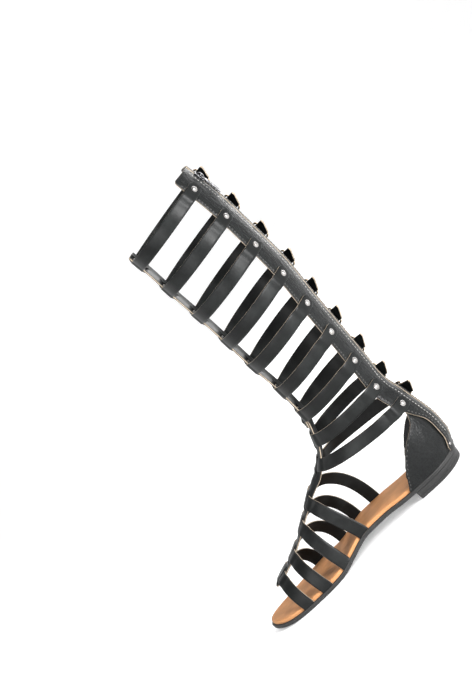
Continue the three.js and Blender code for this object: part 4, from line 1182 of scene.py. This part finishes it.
class SANDAL_OT_sole(bpy.types.Operator):
    """Makes the outsole, the heel block and the insole"""
    bl_idname = "sandal.sole"
    bl_label = "Sole"

    def execute(self, context):
        shares = (0.0, 0.4, 0.8, 1.0)
        rings = [around_sole(EDGE_ROUND, sole_under, 0, share) for share in shares]
        rings += [around_sole(inset, sole_under, rise) for inset, rise in OUTSOLE_EDGE]
        rings += [around_sole(inset, sole_top, rise) for inset, rise in ((0, -0.4), (0.4, 0))]
        rings += [around_sole(LEDGE + 1, sole_top, 0, share) for share in (1.0, 0.8, 0.4, 0.0)]
        dress(laid_grid("outsole_rubber", rings), [look("sole rubber")], replaces=["outsole"])

        rings = [around_sole(LEDGE, insole_under, 0, share) for share in shares]
        rings += [around_sole(LEDGE - 0.1, insole_under, 1.6)]
        rings += [around_sole(LEDGE + inset, insole_top, rise) for inset, rise in INSOLE_EDGE]
        rings += [around_sole(LEDGE + INSOLE_EDGE[-1][0], insole_top, -0.15 * (1 - share), share)
                  for share in (0.85, 0.6, 0.3, 0.0)]
        insole = laid_grid("insole_footbed", rings)
        for polygon in insole.data.polygons:
            polygon.material_index = int(abs(polygon.normal.z) < 0.75)
        dress(insole, [look("footbed leather"), look("footbed edge")], replaces=["insole"])

        rings = [heel_ring(EDGE_ROUND + HEEL_TAPER + 0.6, 0, share) for share in (0.0, 0.5, 1.0)]
        rings += [heel_ring(EDGE_ROUND + HEEL_TAPER * taper + inset, height)
                  for taper, inset, height in HEEL_EDGE]
        rings += [heel_ring(EDGE_ROUND + 0.2, HEEL_HEIGHT - GAP, share) for share in (1.0, 0.5, 0.0)]
        dress(laid_grid("heel_lift", rings), [look("sole rubber")], replaces=["heel_block"])
        return {"FINISHED"}


class SANDAL_OT_straps(bpy.types.Operator):
    """Lays the shaft straps and the foot straps on the leg and the foot"""
    bl_idname = "sandal.straps"
    bl_label = "Straps"

    def execute(self, context):
        for index in range(len(SHAFT_STRAPS)):
            skins = strap_skins(shaft_strap_rows(index, small(1)))
            smooth_sheet(f"shaft_strap_{index + 1}", skins, STRAP_THICK, STRAP_ROUND)
        for index in range(len(FOOT_STRAPS)):
            skins = level_with_ledge(strap_skins(foot_strap_rows(index, small(0.8))))
            smooth_sheet(f"foot_strap_{index + 1}", skins, STRAP_THICK, STRAP_ROUND)
        return {"FINISHED"}


class SANDAL_OT_front_strips(bpy.types.Operator):
    """Makes the two front strips, with their middles arched over the straps"""
    bl_idname = "sandal.front_strips"
    bl_label = "Front strips"

    def execute(self, context):
        joint = SEAT + JOINT_UP * SHAFT_RISE
        crossings = [leg_point(SEAT + front * SHAFT_RISE, math.pi) for _, front in SHAFT_STRAPS]
        line = front_line()
        on_shaft = [at for at in line if at.z >= joint]

        def lapped(at):
            return (STRIP_THICK + GAP) * (1 - ease(joint + JOINT_LAP + 1, joint + 2 * JOINT_LAP, at.z))

        upper, lower = crossings[:SHAFT_LADDER_STRAPS], crossings[SHAFT_LADDER_STRAPS:]
        skins = strip_skins(on_shaft, upper, lambda at: STRIP_WIDTH, lapped)
        smooth_sheet("shaft_front_strip", skins, STRIP_THICK, STRIP_ROUND, ["shaft_straps"])

        on_foot = [at for at in line if at.z <= joint + JOINT_LAP]
        tip = on_foot[-1]

        def width_at(at):
            along = along_sole(at.y)
            width = mix(STRIP_WIDTH, TOE_STRIP_WIDTH, ease(ANKLE_FRONT, 0.6, along))
            to_tip = min(1, ((tip - at).length + 1.5) / (TOE_STRIP_WIDTH / 2))
            return max(SLIT_SPREAD + 2, width * math.sqrt(1 - (1 - to_tip) ** 2))

        lower += [instep_crown(crossing) for _, crossing, _ in FOOT_STRAPS]
        skins = strip_skins(on_foot, lower, width_at, lambda at: 0)
        smooth_sheet("instep_front_strip", skins, STRIP_THICK, STRIP_ROUND, ["instep_straps"])
        return {"FINISHED"}


class SANDAL_OT_back(bpy.types.Operator):
    """Makes the back strips, the heel counter and their stitches"""
    bl_idname = "sandal.back"
    bl_label = "Back and heel counter"

    def execute(self, context):
        pitch = context.scene.sandal_sizes.stitch_pitch / MM
        heights = spread(SEAT + GAP, SHAFT_HEIGHT - BACK_CORNER - 2, 2.8)
        heights += [SHAFT_HEIGHT - step for step in (5, 4, 3, 2.2, 1.5, 0.9, 0.4, 0.1, 0)]

        def inner(height):
            return mix(GAP / 2, ZIP_OPENING / 2, ease(ZIP_BOTTOM - BACK_CORNER, ZIP_BOTTOM, height))

        def outer(height):
            low = clamp((height - SHAFT_HEIGHT + BACK_CORNER) / BACK_CORNER)
            return back_edge(height) - BACK_CORNER * (1 - math.sqrt(1 - low ** 2))

        def rear(height):
            return ZIP_OPENING / 2 + COUNTER_FROM_ZIP

        def face(height):
            return heel_step(height) + BACK_THICK + ON_LEATHER

        def sewn(name, thread, lines):
            stitches = scatter(name, stitch_base(pitch * STITCH_SHARE), lines)
            dress(stitches, [look(thread)])

        rise = spread(ZIP_BOTTOM + 3, SHAFT_HEIGHT - 6, pitch)
        low_rise = spread(SEAT + 7, SHAFT_HEIGHT - 8, pitch)
        levels = spread(SEAT + GAP, COUNTER_HEIGHT, 2.4)
        shown = [height for height in spread(SEAT + 3, COUNTER_HEIGHT - 8, pitch)
                 if counter_reach(height) > back_edge(height) + 4]
        for side, name in SIDES:
            skins = patch_skins(heights, inner, outer, 12, heel_step, side)
            pebbled_sheet(f"back_{name}_leather", skins, BACK_THICK, [f"back_strip_{name}"])
            lines = stitch_line(rise[1:], lambda h: side * (inner(h) + STITCH_IN), face)
            sewn(f"back_{name}_stitches", "thread", lines)
            lines = stitch_line(rise, lambda h: side * (inner(h) + EDGE_STITCH_IN), face)
            lines += stitch_line(low_rise, lambda h: side * (back_edge(h) - OUTER_STITCH_IN), face)
            sewn(f"back_{name}_edge_stitches", "dark thread", lines)

            skins = patch_skins(levels, rear, counter_reach, 18, lambda h: 0, side)
            pebbled_sheet(f"counter_{name}_leather", skins, COUNTER_THICK, [f"counter_{name}"])
            lines = stitch_line(shown, lambda h: side * (counter_reach(h) - COUNTER_STITCH_IN),
                                lambda h: COUNTER_THICK + ON_LEATHER)
            sewn(f"counter_{name}_stitches", "dark thread", lines)
        return {"FINISHED"}


class SANDAL_OT_zip(bpy.types.Operator):
    """Makes the zip tape, its teeth, the slider and the pull"""
    bl_idname = "sandal.zip"
    bl_label = "Zip"

    def teeth(self):
        top = SHAFT_HEIGHT - ZIP_TOP_MARGIN
        tape = patch_skins(spread(ZIP_BOTTOM - TAPE_BELOW, top, 4), lambda h: -TAPE_WIDTH / 2,
                           lambda h: TAPE_WIDTH / 2, 12, lambda h: -GAP - TAPE_THICK)
        dress(slab("zip_tape", tape, TAPE_THICK, 0.2), [look("woven zip tape")],
              replaces=["zip_chain"])
        cord = patch_skins(spread(ZIP_BOTTOM + 2.5, top, 4), lambda h: -CORD_WIDTH / 2,
                           lambda h: CORD_WIDTH / 2, 4, lambda h: heel_step(h) - CORD_THICK / 2)
        dress(slab("zip_tooth_cord", cord, CORD_THICK, 0.3), [look("zip teeth")])
        wide, tall = TOOTH_SHARES
        size = (TEETH_WIDTH * wide, TOOTH_PITCH * tall, 1.0)
        base = rounded_box("tooth", size, (0, 0, 0), 0.16, Matrix.Identity(4))
        places = []
        for k, height in enumerate(spread(ZIP_BOTTOM + 3, top - 1, TOOTH_PITCH / 2)):
            at, out = leg_skin(height, (TOOTH_OUT if k % 2 else -TOOTH_OUT))
            up = out.cross(ACROSS).normalized()
            place = at + out * (heel_step(height) + TOOTH_LIFT)
            places.append(basis(ACROSS, up, ACROSS.cross(up), place))
        dress(scatter("zip_teeth", base, places), [look("zip teeth")])

    def slider(self, local):
        flange = (SLIDER_WIDTH - TEETH_WIDTH) / 2 - GAP
        size = (SLIDER_WIDTH, SLIDER_LENGTH, SLIDER_THICK)
        middle = (SLIDER_BASE + SLIDER_TOP) / 2
        parts = [rounded_box("plate", size, (0, 0, middle), 0.45, local)]
        for side in (MEDIAL, LATERAL):
            centre = (side * (SLIDER_WIDTH - flange) / 2, 0, SLIDER_TOP / 2)
            size = (flange, SLIDER_LENGTH - 0.8, SLIDER_TOP)
            parts.append(rounded_box("wall", size, centre, 0.15, local))
        reach, crest, foot = BRIDGE_LENGTH / 2 - 0.6, BRIDGE_RISE - 0.35, SLIDER_TOP - 0.2
        turns = [math.pi * k / 16 for k in range(17)]
        for side in (-0.5, 0.5):
            arch = [Vector((side, reach * math.cos(t), foot + crest * math.sin(t) ** 0.7))
                    for t in turns]
            parts.append(tube("bridge", arch, 0.55, matrix=local))
        dress(join_pieces("zip_slider_metal", parts), [look("black nickel")],
              replaces=["zip_slider"])

    def pull(self, local):
        reach = BRIDGE_LENGTH / 2 + 1.5
        arm_at = BRIDGE_WIDTH / 2 + GAP + ARM_RADIUS
        pin = [Vector((x, 0, PIN_LIFT)) for x in (-arm_at - 0.5, arm_at + 0.5)]
        parts = [tube("pin", pin, PIN_RADIUS - 0.02, matrix=local)]
        for x in (-arm_at, arm_at):
            arm = [Vector((x, y, PIN_LIFT)) for y in (0.1, -reach - 0.8)]
            parts.append(tube("arm", arm, ARM_RADIUS - 0.02, matrix=local))
        size = (PULL_WIDTH, PULL_LENGTH - reach, PULL_THICK)
        middle = FUSE - (PULL_LENGTH + reach) / 2
        parts.append(rounded_box("pull", size, (0, middle, PIN_LIFT), 0.35, local))
        face = PIN_LIFT + PULL_THICK / 2 - 0.05
        rim = [Vector((2.3 * math.cos(t), middle + 6.6 * math.sin(t), face))
               for t in (2 * math.pi * k / 32 for k in range(32))]
        parts.append(tube("rim", rim, RIM_RADIUS, closed=True, matrix=local))
        dress(join_pieces("zip_pull_metal", parts), [look("black nickel")], "zip_pull",
              replaces=["zip_pull"])

    def execute(self, context):
        self.teeth()
        out = leg_normal(SLIDER_HEIGHT, 0)
        up = out.cross(ACROSS).normalized()
        local = basis(ACROSS, up, out, leg_point(SLIDER_HEIGHT, 0))
        self.slider(local)
        self.pull(local)
        return {"FINISHED"}


class SANDAL_OT_buckles(bpy.types.Operator):
    """Makes the buckles with their tabs, and dark discs of painted shade where the straps' punched
    holes are
    """
    bl_idname = "sandal.buckles"
    bl_label = "Buckles"

    def frame_points(self):
        rail, half = BUCKLE_LENGTH / 2, BUCKLE_HEIGHT / 2
        x, y = rail - BUCKLE_CORNER, half - BUCKLE_CORNER
        points = []
        for quarter, (cx, cy) in enumerate(((x, y), (-x, y), (-x, -y), (x, -y))):
            for k in range(9):
                turn = (quarter + k / 8) * math.pi / 2
                arm = Vector((BUCKLE_CORNER * math.cos(turn), BUCKLE_CORNER * math.sin(turn), 0))
                points.append(Vector((cx, cy, 0)) + arm)
            if quarter in (0, 2):
                points += [Vector((cx * (1 - k / 4), points[-1].y, 0)) for k in range(1, 8)]
        for at in points:
            at.z = BAR_LIFT + (RAIL_LIFT - BAR_LIFT) * min(1, (1.15 * at.x / rail) ** 2)
        return points

    def prong_points(self):
        rail = BUCKLE_LENGTH / 2
        top = RAIL_LIFT + WIRE_RADIUS + PRONG_RADIUS * 0.6
        ends = Table("x lift", (0, BAR_LIFT + BAR_RADIUS), (2, BAR_LIFT + 1.7), (rail - 0.5, top),
                     (rail + 1.6, top - 0.5))
        return [Vector((-x, 0, ends.read("lift", x))) for x in spread(0, rail + 1.6, 0.6)]

    def buckle(self, number, local):
        half = BUCKLE_HEIGHT / 2
        bar = [Vector((0, y, BAR_LIFT)) for y in (-half, half)]
        parts = [tube("frame", self.frame_points(), WIRE_RADIUS, closed=True, matrix=local),
                 tube("bar", bar, BAR_RADIUS, matrix=local),
                 tube("prong", self.prong_points(), PRONG_RADIUS, matrix=local)]
        dress(join_pieces(f"buckle_metal_{number}", parts), [look("champagne")],
              replaces=[f"buckle_{number}"])

    def tab(self, number, place, local):
        inner, half = BAR_RADIUS + GAP, TAB_WIDTH / 2
        rows = []
        for far in spread(-inner, TAB_LENGTH, 1.5):
            at, _, out, up = place.path.at(place.bar + far)
            rows.append((at, out, up, BACK_THICK + 1.3 * GAP + place.step, -half, half))
        parts = [slab("plate", strap_skins(rows, 4), TAB_THICK, TAB_ROUND)]
        outer, length = inner + TAB_THICK, (TAB_WIDTH - TAB_SLOT) / 2
        profile = [(inner, 0), (outer - TAB_ROUND, 0), (outer, TAB_ROUND), (outer, length - TAB_ROUND),
                   (outer - TAB_ROUND, length), (inner, length), (inner, 0)]
        lie = Matrix.Rotation(-math.pi / 2, 4, "X")
        for start in (TAB_SLOT / 2, -TAB_SLOT / 2 - length):
            turn = local @ Matrix.Translation((0, start, BAR_LIFT)) @ lie
            parts.append(lathe("loop", profile, turn, 20))
        dress(join_pieces(f"buckle_tab_leather_{number}", parts), [look("pebbled leather")],
              replaces=[f"buckle_tab_{number}"])

    def execute(self, context):
        places = []
        for index in range(len(SHAFT_STRAPS)):
            place = Fastening(index)
            local = place.bar_frame()
            self.buckle(index + 1, local)
            self.tab(index + 1, place, local)
            for k in range(1, HOLES + 1):
                far = place.bar - HOLE_PITCH * k - 1.5
                at, along, out, up = place.path.at(far)
                lift = place.lift(far) + place.wave(far) + STRAP_THICK + HOLE_LIFT
                places.append(basis(along, -up, out, at + out * lift))
        # Each hole is a disc laid on the strap, coloured dark as painted shade in place of an opening
        profile = [(HOLE_RADIUS * share, height) for share, height in HOLE]
        base = lathe("hole", profile, Matrix.Identity(4), 14)
        dress(scatter("painted_hole_shades", base, places), [look("painted hole shade")])
        return {"FINISHED"}


class SANDAL_OT_rivets(bpy.types.Operator):
    """Makes the rivets of the straps and the small studs"""
    bl_idname = "sandal.rivets"
    bl_label = "Rivets and studs"

    def stud(self, name, node, at, out):
        side = out.orthogonal().normalized()
        local = basis(side, out.cross(side), out, at)
        profile = [(STUD_RADIUS * share, height) for share, height in STUD]
        dress(lathe(name, profile, local, 20), [look("nickel")], replaces=[node])

    def execute(self, context):
        seat = BACK_THICK + 2 * GAP + STRAP_THICK + 0.15
        head = [(RIVET_RADIUS * share, seat + height) for share, height in RIVET_FOOT]
        head += [(RIVET_RADIUS * share, seat + RIVET_DOME * rise) for share, rise in RIVET_HEAD]
        for index in range(len(SHAFT_STRAPS)):
            place = Fastening(index)
            low = -2 * GAP - place.step
            burr = [(0, low - 0.6), (RIVET_RADIUS * 0.8, low - 0.6), (RIVET_RADIUS, low - 0.3),
                    (RIVET_RADIUS, low), (SHANK_RADIUS, low), (SHANK_RADIUS, seat)]
            rivet = lathe(f"rivet_metal_{index + 1}", burr + head, place.rivet_frame())
            dress(rivet, [look("nickel")], replaces=[f"rivet_{index + 1}"])
        height = SEAT + SEAM_STUD_UP
        middle = leg_point(SEAT + JOINT_UP * SHAFT_RISE + LAP_STUD_UP, math.pi)
        for side, name in SIDES:
            at, out = leg_skin(height, side * (back_edge(height) - SEAM_STUD_IN))
            at += out * (heel_step(height) + BACK_THICK + 0.1)
            self.stud(f"heel_stud_{name}", f"seam_stud_{name}", at, out)
            at, out = front_skin(middle, side * STRIP_WIDTH * LAP_STUD_SHARE)
            at += out * (2 * STRIP_THICK + 0.5)
            self.stud(f"lap_stud_{name}", f"joint_stud_{name}", at, out)
        return {"FINISHED"}


class SANDAL_OT_stage(bpy.types.Operator):
    """Sets the pale floor, the soft lights and the camera"""
    bl_idname = "sandal.stage"
    bl_label = "Stage"

    def floor(self):
        rows = [(radius / MM, height / MM - FLOOR_DEPTH) for radius, height in FLOOR]
        rows += [(radius + FLOOR_THICK, height - FLOOR_THICK) for radius, height in reversed(rows[1:])]
        rows += [(0, -FLOOR_THICK)]
        piece = lathe("studio_floor", rows, Matrix.Scale(MM, 4), 96)
        finish = Finish("studio floor")
        specks = finish.noise(900)
        piece.data.materials.append(finish.surface(
            Base_Color=finish.blend(specks, (0.86, 0.86, 0.86, 1), (0.9, 0.9, 0.9, 1)), Roughness=0.9,
            Emission_Color=(1, 1, 1, 1), Emission_Strength=GLOW))

    def lights(self, scene):
        scene.world = bpy.data.worlds.new("studio")
        scene.world.use_nodes = True
        sky = scene.world.node_tree.nodes["Background"].inputs
        sky["Color"].default_value = (1, 1, 1, 1)
        sky["Strength"].default_value = GLOW
        for name, power, width, height, place in LIGHTS:
            light = bpy.data.lights.new(name, "AREA")
            light.energy = power
            light.shape = "RECTANGLE"
            light.size, light.size_y = width, height
            lamp = bpy.data.objects.new(name, light)
            scene.collection.objects.link(lamp)
            lamp.location = place
            aim = Vector(LIGHT_TARGET) - Vector(place)
            lamp.rotation_euler = aim.to_track_quat("-Z", "Y").to_euler()

    def camera(self, scene):
        sizes = scene.sandal_sizes
        swing, height, roll = sizes.camera_swing, sizes.camera_height, sizes.camera_roll
        level = -math.cos(height)
        back = Vector((math.cos(swing) * level, math.sin(swing) * level, math.sin(height)))
        right = Vector((0, 0, 1)).cross(back).normalized()
        up = back.cross(right).normalized()
        cos, sin = math.cos(roll), math.sin(roll)
        up, right = up * cos + right * sin, right * cos - up * sin
        width, tall = PICTURE
        heel = Vector((0, -HEEL_CENTRE, 0)) * MM
        x, y = CAMERA_HEEL
        target = heel + (right * (width / 2 - x) + up * (y - tall / 2)) * MM / CAMERA_SCALE
        camera = bpy.data.cameras.new("camera")
        camera.sensor_fit = "VERTICAL"
        camera.sensor_height = SENSOR
        camera.lens = SENSOR * CAMERA_FAR * CAMERA_SCALE / MM / tall
        eye = bpy.data.objects.new("camera", camera)
        scene.collection.objects.link(eye)
        turn = Matrix((right, up, back)).transposed().to_4x4()
        eye.matrix_world = Matrix.Translation(target + back * CAMERA_FAR) @ turn
        scene.camera = eye

    def execute(self, context):
        self.floor()
        self.lights(context.scene)
        self.camera(context.scene)
        context.scene.view_settings.view_transform = "Standard"
        return {"FINISHED"}


class SANDAL_PT_sidebar(bpy.types.Panel):
    """Lists the steps that make the sandal"""
    bl_idname = "SANDAL_PT_sidebar"
    bl_label = "Gladiator sandal"
    bl_space_type = "VIEW_3D"
    bl_region_type = "UI"
    bl_category = "Sandal"

    def draw(self, context):
        for group in (context.scene.sandal_sizes, context.scene.sandal_looks):
            for name in group.bl_rna.properties.keys():
                if name not in {"rna_type", "name"}:
                    self.layout.prop(group, name)
        for step in STEPS:
            self.layout.operator(step.bl_idname)


STEPS = (
    SANDAL_OT_sole, SANDAL_OT_straps, SANDAL_OT_front_strips, SANDAL_OT_back, SANDAL_OT_zip,
    SANDAL_OT_buckles, SANDAL_OT_rivets, SANDAL_OT_stage)
CLASSES = (SandalLooks, SandalSizes, *STEPS, SANDAL_PT_sidebar)


def register():
    for part in CLASSES:
        bpy.utils.register_class(part)
    bpy.types.Scene.sandal_looks = bpy.props.PointerProperty(type=SandalLooks)
    bpy.types.Scene.sandal_sizes = bpy.props.PointerProperty(type=SandalSizes)


def unregister():
    del bpy.types.Scene.sandal_sizes
    del bpy.types.Scene.sandal_looks
    for part in reversed(CLASSES):
        bpy.utils.unregister_class(part)


def main():
    register()
    for step in STEPS:
        group, name = step.bl_idname.split(".")
        getattr(getattr(bpy.ops, group), name)()


if __name__ == "__main__":
    main()
